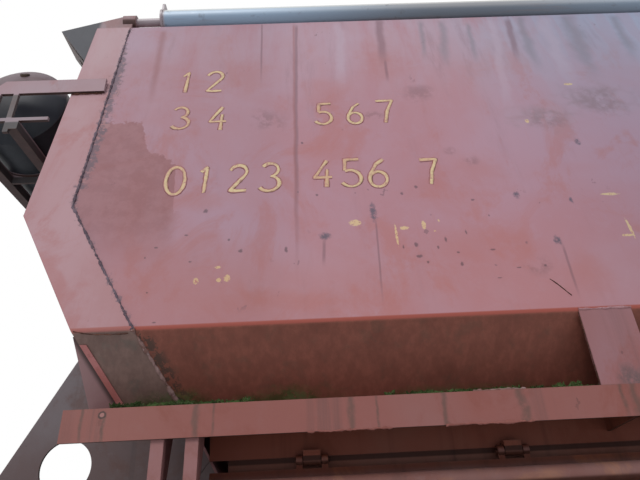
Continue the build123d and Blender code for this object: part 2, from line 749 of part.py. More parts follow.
# Brake cylinder, auxiliary reservoir and pull rod, hung from the centre sill
with BuildPart() as brake_gear:
    # Columns: radius, reach along X, side
    for radius, reach_x, side in ((cylinder_radius, cylinder_x, -1), (tank_radius, tank_x, 1)):
        rod((reach_x[0], side * gear_y, gear_z), (reach_x[1], side * gear_y, gear_z), radius)
        for x in (reach_x[0] + radius / 2, reach_x[1] - radius / 2):
            block((x - 25, x + 25), (side * gear_y, side * (sill_y - sill_flange / 2)), (gear_z, sill_z[0]))
    rod((-brake_rod_x, 0, gear_z + 120), (brake_rod_x, 0, gear_z + 120), brake_rod_radius)
    for x in (-brake_rod_x + 100, brake_rod_x - 100):
        block((x - 20, x + 20), (-sill_y, sill_y), (sill_z[0] - 20, sill_z[0]))
        block((x - 20, x + 20), (-20, 20), (gear_z + 120, sill_z[0]))
write(brake_gear, "brake_gear")

# Bogies: side frames, cross members, pivot bowl and side bearers
half_outline = [(frame_bend_x[0], frame_top_z - frame_depth[0]),
                (frame_bend_x[1], frame_top_z - frame_depth[1]),
                (frame_bend_x[2], frame_top_z - frame_depth[1]),
                (frame_half_length, frame_top_z - frame_depth[2]), (frame_half_length, frame_top_z)]
frame_outline = half_outline + [(-x, z) for x, z in reversed(half_outline)]
beam_place = frame_half_length - bogie_beam_width
spring_top_z = frame_top_z - frame_depth[1] - frame_flange
with BuildPart() as bogie_frame:
    for side in (-1, 1):
        with BuildSketch(Plane.XZ.offset(-side * frame_y)) as side_frame:
            with BuildLine():
                Polyline(*[(pivot_x + x, z) for x, z in frame_outline], close=True)
            make_face()
            low = side_frame.vertices().filter_by(lambda v: v.Y < frame_top_z - frame_depth[2] - 1)
            fillet(low, radius=frame_corner)
        extrude(side_frame.sketch, amount=frame_web / 2, both=True)
        block((pivot_x - frame_half_length, pivot_x + frame_half_length),
              (side * frame_y - frame_width / 2, side * frame_y + frame_width / 2),
              (frame_top_z, frame_top_z + frame_flange))
        block((pivot_x - frame_bend_x[0], pivot_x + frame_bend_x[0]),
              (side * frame_y - frame_width / 2, side * frame_y + frame_width / 2),
              (frame_top_z - frame_depth[0] - frame_flange, frame_top_z - frame_depth[0]))
        for end in (-1, 1):
            block((pivot_x + end * frame_bend_x[1], pivot_x + end * frame_bend_x[2]),
                  (side * frame_y - frame_width / 2, side * frame_y + frame_width / 2),
                  (spring_top_z, frame_top_z - frame_depth[1]))
        block((pivot_x - bearer_size[0] / 2, pivot_x + bearer_size[0] / 2),
              (side * (bearer_y - bearer_size[1] / 2), side * (bearer_y + bearer_size[1] / 2)),
              (frame_top_z - frame_depth[2], bearer_z - bearer_gap))
    slab(Plane.YZ.offset(pivot_x - bogie_bolster_x),
         [(-frame_y, frame_top_z), (frame_y, frame_top_z), (frame_y, frame_top_z - bogie_bolster_depth[1]),
          (pivot_radius, frame_top_z - bogie_bolster_depth[0]),
          (-pivot_radius, frame_top_z - bogie_bolster_depth[0]),
          (-frame_y, frame_top_z - bogie_bolster_depth[1])], 2 * bogie_bolster_x)
    for end in (-1, 1):
        x = pivot_x + end * beam_place
        block((x - bogie_beam_width / 2, x + bogie_beam_width / 2), (-frame_y, frame_y),
              (frame_top_z - bogie_beam_depth, frame_top_z))
    rod((pivot_x, 0, frame_top_z), (pivot_x, 0, bolster_z[0] - pivot_gap), pivot_radius)
write_ends(bogie_frame, "bogie_frame")

axle_places = [(side, pivot_x + axle * bogie_wheelbase / 2) for side in (-1, 1) for axle in (-1, 1)]
with BuildPart() as axleboxes:
    for side, x in axle_places:
        y_in, y_out = side * box_y[0], side * box_y[1]
        with BuildSketch(Plane.XZ.offset(-y_in)) as housing_face:
            with Locations((x, axle_z)):
                Circle(box_width / 2 + 8)
            with Locations((x, axle_z - box_below / 2)):
                Rectangle(box_width, box_below)
            with Locations((x, axle_z + box_above / 2)):
                Rectangle(box_width * 0.8, box_above)
            with Locations((x, seat_z - seat_thickness / 2)):
                Rectangle(2 * (spring_pitch + spring_radius + 10), seat_thickness)
        extrude(housing_face.sketch, amount=-side * (box_y[1] - box_y[0]))
        rod((x, y_in - side * 1, axle_z), (x, y_out + side * 1, axle_z), journal_radius + bearing_gap,
            mode=Mode.SUBTRACT)
        rod((x, y_out, axle_z), (x, y_out + side * box_cap, axle_z), box_cap_radius)
write_ends(axleboxes, "axleboxes")

with BuildPart() as bogie_springs:
    for side, x in axle_places:
        for spring in (-1, 1):
            place = x + spring * spring_pitch
            rod((place, side * frame_y, seat_z), (place, side * frame_y, spring_top_z), spring_radius)
write_ends(bogie_springs, "bogie_springs")

# Brake shoes at both sides of each wheel, on cross beams and hangers
shoe_in = tread_diameter / 2 + shoe_gap
shoe_y = back_to_back / 2 + flange_thickness + shoe_width / 2 + 12
with BuildPart() as brake_rigging:
    for axle in (-1, 1):
        for face in (-1, 1):
            axle_x = pivot_x + axle * bogie_wheelbase / 2
            beam_at = axle_x + face * (shoe_in + shoe_thickness + brake_beam_radius / 2)
            rod((beam_at, -shoe_y, axle_z), (beam_at, shoe_y, axle_z), brake_beam_radius)
            carrier_x = pivot_x + axle * (beam_place if face == axle else bogie_bolster_x)
            for side in (-1, 1):
                block((carrier_x, beam_at),
                      (side * shoe_y - brake_hanger / 2, side * shoe_y + brake_hanger / 2),
                      (frame_top_z - bogie_beam_depth - 2 * brake_hanger, frame_top_z - bogie_beam_depth))
                with BuildSketch(Plane.XZ.offset(-side * shoe_y)) as shoe:
                    with Locations((axle_x, axle_z)):
                        Circle(shoe_in + shoe_thickness)
                        Circle(shoe_in, mode=Mode.SUBTRACT)
                    with BuildLine():
                        reach = 2 * shoe_in
                        rise = reach * tan(radians(shoe_angle))
                        Polyline((axle_x, axle_z), (axle_x + face * reach, axle_z + rise),
                                 (axle_x + face * reach, axle_z - rise), close=True)
                    make_face(mode=Mode.INTERSECT)
                extrude(shoe.sketch, amount=shoe_width / 2, both=True)
                block((beam_at - brake_hanger, beam_at + brake_hanger),
                      (side * shoe_y - brake_hanger / 2, side * shoe_y + brake_hanger / 2),
                      (axle_z, frame_top_z - bogie_beam_depth))
write_ends(brake_rigging, "brake_rigging")

# Wheelsets: axle and both wheels, turned in one
back = back_to_back / 2
tread = tread_diameter / 2
rim = tread - rim_depth
web_y = back + web_inset
hub = (back - 20, back - 20 + hub_length)
journal_start = axle_half_length - journal_length
# Columns: distance from the middle of the axle, radius
half_profile = [(0, axle_radius), (hub[0] - 70, axle_radius), (hub[0] - 40, seat_radius),
                (hub[0], seat_radius), (hub[0], hub_radius), (web_y, hub_radius + 20),
                (web_y, rim - 10), (back, rim), (back, tread + flange_height - 12),
                (back + 12, tread + flange_height), (back + 24, tread + flange_height),
                (back + flange_thickness, tread + 3), (back + rim_width, tread - 3),
                (back + rim_width, rim), (web_y + web_thickness, rim - 10),
                (web_y + web_thickness, hub_radius + 20), (hub[1], hub_radius), (hub[1], seat_radius),
                (hub[1] + 30, seat_radius), (journal_start, journal_radius),
                (axle_half_length, journal_radius)]
for end, end_sign in (("a", -1), ("b", 1)):
    for number, axle in ((1, -1), (2, 1)):
        axle_x = end_sign * pivot_x + axle * bogie_wheelbase / 2
        with BuildPart() as wheelset:
            with BuildSketch(Plane(origin=(axle_x, 0, axle_z), x_dir=(0, 1, 0), z_dir=(1, 0, 0))):
                with BuildLine():
                    Polyline((-axle_half_length, 0), *[(-y, r) for y, r in reversed(half_profile)],
                             *half_profile[1:], (axle_half_length, 0), close=True)
                make_face()
            revolve(axis=Axis((axle_x, 0, axle_z), (0, 1, 0)))
        write(wheelset, f"wheelset_{end}{number}")
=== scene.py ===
from math import cos, hypot, pi, radians, sin, tan
from random import Random

import bmesh
import bpy
from mathutils import Matrix, Vector


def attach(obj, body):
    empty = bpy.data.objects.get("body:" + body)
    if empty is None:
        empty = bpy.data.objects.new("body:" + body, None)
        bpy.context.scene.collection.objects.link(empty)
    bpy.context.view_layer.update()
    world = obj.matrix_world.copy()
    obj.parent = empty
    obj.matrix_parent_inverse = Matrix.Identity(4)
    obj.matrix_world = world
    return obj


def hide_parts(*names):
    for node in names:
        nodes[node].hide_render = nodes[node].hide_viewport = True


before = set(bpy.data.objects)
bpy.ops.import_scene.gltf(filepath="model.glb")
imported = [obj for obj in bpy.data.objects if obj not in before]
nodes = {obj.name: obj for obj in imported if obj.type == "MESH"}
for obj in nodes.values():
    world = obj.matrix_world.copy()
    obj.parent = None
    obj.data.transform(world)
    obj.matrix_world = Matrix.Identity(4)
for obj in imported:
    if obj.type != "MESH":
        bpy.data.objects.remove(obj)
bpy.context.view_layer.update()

scene = bpy.context.scene
ends = {"a": -1, "b": 1}
sides = {"near": -1, "far": 1}
print("frame loaded:", len(nodes), "nodes")


# camera: standing beside the rails, looking up at the corner of the hopper
viewPoint = {"place": (-3.8492, -3.2545, 1.3087), "pitch": 28.821, "yaw": 1.495, "roll": -3.025, "lens": 29.25,
             "sensor": 36, "reach": 200}


def setCamera(view):
    data = bpy.data.cameras.new("camera")
    data.lens, data.sensor_width, data.clip_end = view["lens"], view["sensor"], view["reach"]
    camera = bpy.data.objects.new("camera", data)
    scene.collection.objects.link(camera)
    pitch, yaw, roll = (radians(view[key]) for key in ("pitch", "yaw", "roll"))
    turn = Matrix.Rotation(-yaw, 4, "Z") @ Matrix.Rotation(pi / 2 + pitch, 4, "X") @ Matrix.Rotation(roll, 4, "Z")
    camera.matrix_world = Matrix.Translation(view["place"]) @ turn
    scene.camera = camera


setCamera(viewPoint)


# hopper outline in metres, for the marks and pieces that lie on it
outline = {"foldY": 1.5, "foldZ": 1.947, "topY": 1.203, "topZ": 3.893, "footY": 1.286, "ledgeZ": 1.679,
           "endX": 4.831, "kinkZ": 2.532, "endSlope": 59.0, "flange": 0.214, "widest": 1.5023}
lean = (outline["foldY"] - outline["topY"]) / (outline["topZ"] - outline["foldZ"])
# running gear: bogie pivots along the wagon, axles from the pivot, height of the axles
running = {"pivot": 3.75, "axle": 0.9, "axleZ": 0.488}


def sideAt(z):
    return outline["foldY"] - (z - outline["foldZ"]) * lean


def endAt(z):
    return outline["endX"] - max(0, outline["kinkZ"] - z) / tan(radians(outline["endSlope"]))


# a node's inputs, by name or in order: sockets are linked, values are set
def setInputs(tree, node, inputs):
    for key, value in inputs.items() if isinstance(inputs, dict) else enumerate(inputs):
        if isinstance(value, bpy.types.NodeSocket):
            tree.links.new(value, node.inputs[key])
        elif value is not None:
            node.inputs[key].default_value = value
    return node


def treeNode(tree, kind, inputs=(), **settings):
    node = tree.nodes.new(kind)
    for key, value in settings.items():
        setattr(node, key, value)
    return setInputs(tree, node, inputs)


# shader builder: every pattern reads Object coordinates, in metres, in the wagon's own frame
class Surface:
    def __init__(self, name, gloss=0.22):
        self.material = bpy.data.materials.new(name)
        self.material.use_nodes = True
        self.tree = self.material.node_tree
        self.shader = self.tree.nodes["Principled BSDF"]
        self.shader.inputs["Specular IOR Level"].default_value = gloss
        self.place = self.add("ShaderNodeTexCoord").outputs["Object"]
        self.x, y, self.z = self.add("ShaderNodeSeparateXYZ", [self.place]).outputs
        self.reach, self.out = self.math("ABSOLUTE", self.x), self.math("ABSOLUTE", y)
        self.normal = self.add("ShaderNodeNewGeometry").outputs["Normal"]
        self.up = self.add("ShaderNodeSeparateXYZ", [self.normal]).outputs[2]

    def add(self, kind, inputs=(), **settings):
        return treeNode(self.tree, kind, inputs, **settings)

    def math(self, operation, *values):
        return self.add("ShaderNodeMath", values, operation=operation).outputs[0]

    def less(self, value, other):
        return self.math("SUBTRACT", value, other)

    def line(self, value, slope, offset):
        return self.math("MULTIPLY_ADD", value, slope, offset)

    def vector(self, operation, *values):
        node = self.add("ShaderNodeVectorMath", values, operation=operation)
        return node.outputs["Value" if operation in ("LENGTH", "DOT_PRODUCT") else "Vector"]

    def chain(self, operation, values):
        result = values[0]
        for value in values[1:]:
            result = self.math(operation, result, value)
        return result

    def times(self, *values):
        return self.chain("MULTIPLY", values)

    def either(self, masks):
        return self.chain("MAXIMUM", masks)

    def step(self, value, low, high, start=0.0, end=1.0):
        return self.add("ShaderNodeMapRange", [value, low, high, start, end],
                        interpolation_type="SMOOTHSTEP").outputs[0]

    def noise(self, scale, detail=4.0, rough=0.55, stretch=(1, 1, 1), shift=(0, 0, 0), distort=0.0, give="Fac"):
        where = self.add("ShaderNodeMapping", {"Vector": self.place, "Location": shift, "Scale": stretch}).outputs[0]
        return self.add("ShaderNodeTexNoise", {"Vector": where, "Scale": scale, "Detail": detail,
                                               "Roughness": rough, "Distortion": distort}).outputs[give]

    def mix(self, factor, under, over, mode="MIX"):
        under, over = ((*c, 1) if isinstance(c, tuple) else c for c in (under, over))
        node = self.add("ShaderNodeMix", {0: factor, 6: under, 7: over}, data_type="RGBA", blend_type=mode)
        return node.outputs[2]

    def coat(self, under, over, *masks):
        return self.mix(self.times(*masks), under, over)

    def bend(self, scale, amount):
        centred = self.vector("SUBTRACT", self.noise(scale, 4, 0.7, give="Color"), (0.5, 0.5, 0.5))
        return self.vector("MULTIPLY", centred, (amount, 0, amount))

    def spot(self, row, bend, soft=0.7):
        x, z, width, height = row
        shift = self.vector("ADD", bend, (-x / width, 0, -z / height))
        across = self.vector("MULTIPLY_ADD", self.place, (1 / width, 0, 1 / height), shift)
        return self.step(self.vector("LENGTH", across), 1.0, soft)

    def trail(self, row, wobble, soft=0.2):
        topX, top, footX, foot, width = row
        slant = (topX - footX) / (top - foot)
        across = self.math("ADD", self.vector("DOT_PRODUCT", self.place, (1 / width, 0, -slant / width)),
                           (slant * top - topX) / width)
        inside = self.step(self.math("ABSOLUTE", self.math("ADD", across, wobble)), 1.0, soft)
        return self.times(inside, self.step(self.z, foot, foot + 0.45 * (top - foot)),
                          self.step(self.z, top + 0.03, top - 0.03))

    def spots(self, rows, bend, soft=0.7):
        return self.either([self.spot(row, bend, soft) for row in rows])

    def trails(self, rows, wobble, soft=0.2):
        return self.either([self.trail(row, wobble, soft) for row in rows])

    def worn(self, radius=0.006):
        soft = self.add("ShaderNodeBevel", {"Radius": radius}, samples=4).outputs[0]
        return self.step(self.vector("DOT_PRODUCT", soft, self.normal), 0.985, 0.86)

    def relief(self, height, distance, strength=1.0, under=None):
        return self.add("ShaderNodeBump", {"Height": height, "Distance": distance, "Strength": strength,
                                           "Normal": under}).outputs[0]

    def finish(self, color, roughness, metallic=0.0, normal=None):
        setInputs(self.tree, self.shader, {"Base Color": color, "Roughness": roughness, "Metallic": metallic,
                                           "Normal": normal})
        return self.material


# marks on the photographed side. Spots: place along the wagon, height, half width, half height
hopperMarks = {
    "scars": [
        (-3.783, 2.323, 0.03, 0.027), (-3.576, 2.438, 0.019, 0.064), (-2.959, 2.502, 0.017, 0.029),
        (-2.863, 2.257, 0.02, 0.027), (-2.585, 2.812, 0.018, 0.027), (-2.738, 2.462, 0.009, 0.023)],
    "chips": [
        (-4.27, 2.478, 0.012, 0.014), (-4.164, 2.324, 0.007, 0.008), (-4.115, 2.268, 0.012, 0.011),
        (-3.937, 2.264, 0.008, 0.018), (-4.484, 2.252, 0.005, 0.006), (-4.452, 2.094, 0.006, 0.005),
        (-4.336, 2.355, 0.01, 0.006), (-4.448, 2.299, 0.01, 0.006), (-4.307, 2.225, 0.008, 0.005),
        (-3.15, 2.483, 0.01, 0.007), (-3.103, 2.395, 0.005, 0.007), (-3.303, 2.282, 0.007, 0.015),
        (-3.424, 2.263, 0.01, 0.013), (-3.476, 2.254, 0.005, 0.012), (-3.34, 2.246, 0.006, 0.01),
        (-3.419, 2.207, 0.016, 0.011), (-3.392, 2.179, 0.007, 0.008), (-3.267, 2.217, 0.008, 0.007),
        (-3.264, 2.163, 0.008, 0.014), (-3.215, 2.315, 0.005, 0.015), (-3.129, 2.224, 0.014, 0.006),
        (-3.049, 2.137, 0.012, 0.004), (-3.137, 2.094, 0.011, 0.003), (-2.948, 2.141, 0.008, 0.007),
        (-3.884, 2.565, 0.004, 0.006), (-3.804, 2.544, 0.009, 0.008), (-3.442, 2.534, 0.009, 0.011),
        (-3.376, 2.568, 0.009, 0.011), (-3.859, 2.869, 0.007, 0.01), (-4.408, 1.969, 0.01, 0.004)],
    "yellows": [
        (-4.277, 2.135, 0.013, 0.017), (-4.161, 2.143, 0.015, 0.017), (-4.191, 2.136, 0.011, 0.011),
        (-4.198, 2.194, 0.015, 0.007), (-3.654, 2.384, 0.027, 0.018), (-3.495, 2.314, 0.006, 0.062),
        (-3.46, 2.348, 0.019, 0.01), (-3.377, 2.359, 0.01, 0.026), (-3.313, 2.379, 0.005, 0.007),
        (-3.338, 2.326, 0.005, 0.006), (-2.777, 2.966, 0.012, 0.015), (-2.562, 2.486, 0.042, 0.008),
        (-2.576, 2.268, 0.03, 0.007), (-2.553, 2.302, 0.007, 0.057), (-2.484, 3.238, 0.024, 0.01)],
    "washes": [
        (-3.422, 3.499, 0.15, 0.27), (-3.277, 2.545, 0.27, 0.18), (-3.732, 2.815, 0.18, 0.13),
        (-3.078, 2.654, 0.2, 0.18), (-2.787, 2.112, 0.12, 0.135), (-3.888, 2.035, 0.525, 0.067),
        (-4.299, 2.541, 0.2, 0.082), (-3.169, 2.273, 0.24, 0.15), (-4.118, 3.36, 0.15, 0.255),
        (-3.709, 3.214, 0.175, 0.2)],
    "smudges": [
        (-3.252, 3.214, 0.115, 0.088), (-2.674, 2.968, 0.15, 0.084), (-2.369, 3.103, 0.15, 0.15),
        (-3.185, 2.787, 0.04, 0.039), (-3.099, 2.718, 0.045, 0.046), (-4.01, 3.039, 0.115, 0.105),
        (-3.5, 3.048, 0.067, 0.038), (-2.969, 2.143, 0.07, 0.068)],
    # Trails: place of the top along the wagon, its height, place of the foot, its height, half width
    "darkTrails": [
        (-3.869, 3.86, -3.898, 2.036, 0.013), (-3.387, 3.897, -3.406, 3.408, 0.034),
        (-3.395, 3.498, -3.405, 3.288, 0.013), (-2.633, 3.855, -2.685, 3.405, 0.03),
        (-3.57, 2.384, -3.588, 1.971, 0.006), (-3.786, 2.304, -3.793, 2.171, 0.01),
        (-2.851, 2.227, -2.87, 1.977, 0.008), (-4.067, 3.892, -4.059, 3.274, 0.008)],
    "softTrails": [
        (-2.275, 3.878, -2.327, 3.213, 0.077), (-2.006, 3.863, -2.051, 3.37, 0.06), (-1.72, 3.87, -1.74, 3.1, 0.05),
        (-2.55, 3.88, -2.6, 3.3, 0.045), (-3.145, 3.862, -3.175, 3.449, 0.026), (-3.02, 3.857, -3.067, 3.37, 0.036),
        (-2.87, 3.825, -2.914, 3.4, 0.024)],
    "paleTrails": [
        (-2.732, 3.86, -2.846, 2.977, 0.033), (-3.62, 3.87, -3.66, 3.2, 0.04), (-2.42, 3.87, -2.47, 3.16, 0.055)],
    "redTrails": [(-4.63, 3.85, -4.612, 3.1, 0.03), (-3.884, 3.87, -3.898, 2.036, 0.012)],
    # paint that has cracked into islands
    "flaked": [(-2.7, 2.99, 0.24, 0.12), (-2.4, 3.12, 0.3, 0.16), (-2.05, 3.05, 0.25, 0.14)],
    # edge of the repainted corner: place along the wagon, how far its top drops there
    "repaintTop": 3.06,
    "repaint": [(-4.632, -4.56, 0.22), (-4.56, -4.435, 0.055), (-4.435, -4.4, 0.3)],
}
stripMarks = {
    "drips": [
        (-4.607, 1.7, -4.605, 1.54, 0.008), (-4.532, 1.665, -4.535, 1.54, 0.009), (-4.235, 1.7, -4.24, 1.52, 0.017),
        (-4.18, 1.7, -4.18, 1.55, 0.006), (-3.73, 1.7, -3.732, 1.5, 0.016), (-3.645, 1.7, -3.645, 1.5, 0.007),
        (-3.424, 1.7, -3.424, 1.5, 0.013), (-3.165, 1.7, -3.162, 1.48, 0.026), (-2.83, 1.7, -2.83, 1.55, 0.012),
        (-2.79, 1.7, -2.792, 1.5, 0.02), (-2.7, 1.7, -2.7, 1.5, 0.012), (-2.62, 1.7, -2.62, 1.5, 0.022)],
    "lump": (-4.541, 1.658, 0.015, 0.015),
    "lumpTop": (-4.541, 1.658, 0.00825, 0.00825),
    "stanchionStain": (-2.77, 1.695, 0.075, 0.065),
}


# every painted steel piece shares one recipe, with its own colours and amounts. Each look's under colour is painted
# shade, given to faces that turn downward
paintLooks = {
    "hopperPaint": {
        "paint": (0.387, 0.187, 0.21), "film": (0.392, 0.228, 0.275), "patch": (0.385, 0.158, 0.155),
        # painted shade: a redder colour on the fold's bend and a dark one on faces that turn downward
        "drip": (0.23, 0.135, 0.16), "under": (0.18, 0.06, 0.041), "band": (0.31, 0.075, 0.055), "drips": 0.35,
        # painted sheen: a paler, bluer pair of colours towards the top right
        "chips": 0.5, "paleSheen": ((0.43, 0.34, 0.4), (0.34, 0.36, 0.45)), "seam": 0.014, "algaeTop": 1.755,
        "tints": [("x", -3.2, -2.1, (0.79, 0.9, 0.96)), ("z", 2.45, 2.05, (1.0, 0.91, 0.84)),
                  ("x", -3.8, -4.1, (0.9, 0.91, 0.92))]},
    "postPaint": {
        "paint": (0.352, 0.174, 0.178), "film": (0.395, 0.232, 0.248), "patch": (0.352, 0.143, 0.137),
        # painted shade, as for the hopper: the fold's bend and the faces that turn downward
        "drip": (0.28, 0.15, 0.15), "under": (0.166, 0.103, 0.086), "band": (0.33, 0.115, 0.1), "drips": 0.2,
        # painted sheen high up, as for the hopper
        "chips": 0.25, "paleSheen": ((0.43, 0.33, 0.345), (0.43, 0.33, 0.345)), "seam": -0.008, "algaeTop": 1.755},
    "bracketPaint": {
        "paint": (0.325, 0.183, 0.194), "film": (0.335, 0.232, 0.253), "patch": (0.317, 0.133, 0.13),
        "drip": (0.22, 0.13, 0.13), "under": (0.06, 0.032, 0.028), "drips": 0.3, "chips": 0.3,
        # painted shade: darker below the beam's underside at 3.28 m, less dark from 3.125 to 3.095 m, darkest below
        # that
        "tints": [("z", 3.284, 3.274, (0.36, 0.42, 0.38)), ("z", 3.135, 3.125, (2.2, 2.1, 2.3)),
                  ("z", 3.105, 3.095, (0.28, 0.32, 0.3))]},
    "bearingPaint": {
        "paint": (0.27, 0.165, 0.168), "film": (0.28, 0.2, 0.21), "patch": (0.25, 0.12, 0.11),
        "drip": (0.16, 0.1, 0.1), "under": (0.09, 0.05, 0.045), "drips": 0.4, "chips": 0.4,
        # painted shade: darker and bluer beyond 5.03 m along the wagon
        "tints": [("reach", 5.0, 5.03, (0.2, 0.28, 0.31))]},
    "stanchionPaint": {
        "paint": (0.262, 0.115, 0.115), "film": (0.272, 0.14, 0.153), "patch": (0.25, 0.088, 0.078),
        "drip": (0.15, 0.08, 0.08), "under": (0.11, 0.04, 0.032), "drips": 0.5, "chips": 0.8},
    "ledgePaint": {
        "paint": (0.236, 0.083, 0.069), "film": (0.238, 0.102, 0.092), "patch": (0.207, 0.062, 0.046),
        "drip": (0.12, 0.062, 0.055), "under": (0.05, 0.02, 0.015), "drips": 0.55, "chips": 0.5,
        "tints": [("x", -4.1, -4.5, (1.04, 1.14, 1.15))]},
    "endPaint": {
        "paint": (0.31, 0.145, 0.145), "film": (0.32, 0.19, 0.205), "patch": (0.27, 0.1, 0.09),
        "drip": (0.16, 0.088, 0.085), "under": (0.075, 0.034, 0.028), "drips": 0.6, "chips": 0.6},
    "platformPaint": {
        "paint": (0.125, 0.085, 0.083), "film": (0.165, 0.135, 0.14), "patch": (0.12, 0.062, 0.052),
        "drip": (0.07, 0.055, 0.055), "under": (0.06, 0.034, 0.03), "drips": 0.6, "chips": 0.6},
    "hangerPaint": {
        "paint": (0.25, 0.115, 0.11), "film": (0.26, 0.14, 0.145), "patch": (0.2, 0.075, 0.06),
        "drip": (0.12, 0.065, 0.06), "under": (0.07, 0.032, 0.026), "drips": 0.6, "chips": 0.6},
    "headerRust": {
        "paint": (0.165, 0.045, 0.027), "film": (0.17, 0.062, 0.042), "patch": (0.13, 0.033, 0.018),
        "drip": (0.06, 0.02, 0.013), "under": (0.06, 0.02, 0.013), "drips": 0.6, "chips": 0.5, "gloss": 0.15,
        # painted shadow: dark just under the header's lower edge, then from 1.505 m down a painted bluish reflection
        "tints": [("z", 1.527, 1.523, (0.25, 0.25, 0.25)), ("z", 1.511, 1.505, (3.5, 4.5, 5.1))]},
    "roofPaint": {
        "paint": (0.27, 0.17, 0.16), "film": (0.36, 0.31, 0.3), "patch": (0.22, 0.11, 0.095),
        "drip": (0.16, 0.11, 0.1), "under": (0.13, 0.065, 0.05), "drips": 0.5, "chips": 0.5},
    "framePaint": {
        "paint": (0.08, 0.03, 0.022), "film": (0.095, 0.046, 0.037), "patch": (0.065, 0.022, 0.015),
        "drip": (0.042, 0.02, 0.015), "under": (0.045, 0.019, 0.014), "drips": 0.6, "chips": 0.5, "gloss": 0.15},
    "doorRust": {
        "paint": (0.11, 0.029, 0.018), "film": (0.14, 0.056, 0.04), "patch": (0.19, 0.055, 0.024),
        "drip": (0.045, 0.017, 0.012), "under": (0.055, 0.018, 0.012), "drips": 0.7, "chips": 0.9, "gloss": 0.15,
        # painted highlight: a brighter, bluish sky reflection on the outermost part, the door's tube
        "tints": [("out", 1.32, 1.328, (1.6, 2.6, 3.5))]},
    "reservoirPaint": {
        "paint": (0.122, 0.076, 0.084), "film": (0.155, 0.108, 0.12), "patch": (0.1, 0.05, 0.046),
        "drip": (0.06, 0.045, 0.046), "under": (0.02, 0.022, 0.027), "drips": 0.5, "chips": 0.5, "gloss": 0.25,
        # painted shade: darker and bluer below 3.39 m, on the reservoir's lower part
        "roughness": 0.35, "tints": [("z", 3.45, 3.39, (0.14, 0.22, 0.28))]},
}


def hopperWear(s, color, mottled, ragged):
    marks = hopperMarks
    broad, fine = s.bend(7, 1.5), s.bend(62, 1.5)
    wobble = s.line(s.noise(5, 3, 0.6), 2.0, -1.0)
    patchy = s.step(s.noise(55, 4, 0.7), 0.3, 0.5)
    color = s.coat(color, (0.375, 0.142, 0.132), s.spots(marks["washes"], broad, 0.1), 0.38)
    color = s.coat(color, (0.205, 0.105, 0.115), s.spots(marks["smudges"], broad, 0.3),
                   s.step(mottled, 0.4, 0.56), 0.5)
    where = s.vector("ADD", s.place, s.bend(6, 0.05))
    cells = s.add("ShaderNodeTexVoronoi", {"Vector": where, "Scale": 12.0}, feature="DISTANCE_TO_EDGE").outputs[0]
    islands = s.mix(s.step(cells, 0.0, 0.3), (0.265, 0.185, 0.205), (0.36, 0.26, 0.305))
    color = s.coat(color, islands, s.spots(marks["flaked"], broad, 0.2), s.step(ragged, 0.3, 0.52), 0.5)
    fall = marks["repaintTop"]
    for start, stop, drop in marks["repaint"]:
        fall = s.less(fall, s.step(s.x, start, stop, 0.0, drop))
    crisp = s.step(s.less(fall, s.line(ragged, 0.16, s.z)), -0.083, -0.07)
    repaint = s.mix(s.step(mottled, 0.4, 0.6), (0.27, 0.11, 0.112), (0.305, 0.132, 0.135))
    color = s.coat(color, repaint, crisp, s.step(s.z, 2.15, 2.5), s.step(s.x, -4.36, -4.43), 0.85)
    color = s.coat(color, (0.44, 0.33, 0.39), s.trails(marks["paleTrails"], wobble), 0.5)
    color = s.coat(color, (0.215, 0.185, 0.215), s.trails(marks["softTrails"], wobble, 0.0), 0.6)
    color = s.coat(color, (0.195, 0.105, 0.125), s.trails(marks["darkTrails"], s.times(wobble, 0.5)), 0.62)
    color = s.coat(color, (0.27, 0.105, 0.105), s.trails(marks["redTrails"], s.times(wobble, 0.6), 0.0), 0.55)
    color = s.coat(color, (0.105, 0.083, 0.112), s.spots(marks["scars"], fine, 0.3), patchy, 0.9)
    color = s.coat(color, (0.11, 0.065, 0.08), s.spots(marks["chips"], fine, 0.4), 0.75)
    color = s.coat(color, (0.4, 0.13, 0.1), s.spots(marks["yellows"], fine, 0.2), 0.6)
    return s.coat(color, (0.6, 0.43, 0.24), s.spots(marks["yellows"], fine),
                  s.step(s.noise(80, 4, 0.7), 0.36, 0.48), 0.9)


def stripWear(s, color, mottled, ragged):
    drips = s.trails(stripMarks["drips"], s.line(s.noise(22, 3, 0.6), 2.0, -1.0), 0.1)
    color = s.coat(color, (0.105, 0.062, 0.05), drips, s.step(ragged, 0.28, 0.5), 0.7)
    rough = s.bend(60, 0.8)
    color = s.coat(color, (0.075, 0.04, 0.035), s.spot(stripMarks["lump"], rough))
    return s.coat(color, (0.3, 0.13, 0.115), s.spot(stripMarks["lumpTop"], rough))


def stanchionWear(s, color, mottled, ragged):
    stain = s.spot(stripMarks["stanchionStain"], s.bend(16, 1.3), 0.3)
    return s.coat(color, (0.115, 0.075, 0.075), stain, s.step(ragged, 0.34, 0.54), 0.85)


# distance inside the line where the side sheet meets its post
def insideSeam(s):
    below = s.math("MAXIMUM", s.less(outline["kinkZ"], s.z), 0.0)
    return s.less(s.line(below, -1 / tan(radians(outline["endSlope"])), outline["endX"]), s.reach)


def seamDirt(s, color, seam, reach, ragged):
    side, wide = (1, 0.034) if seam > 0 else (-1, 0)
    wider = s.step(s.math("ABSOLUTE", s.less(s.z, 3.15)), 0.65, 0.35, abs(seam), abs(seam) + wide)
    near = s.step(s.less(s.line(reach, side, s.line(ragged, 0.13, -0.065)), wider), 0.0, -0.02)
    flecks = s.step(s.noise(26, 5, 0.75, shift=(5, 5, 5)), 0.52, 0.57)
    return s.coat(color, s.mix(flecks, (0.12, 0.085, 0.105), (0.32, 0.165, 0.17)), near, 0.8)


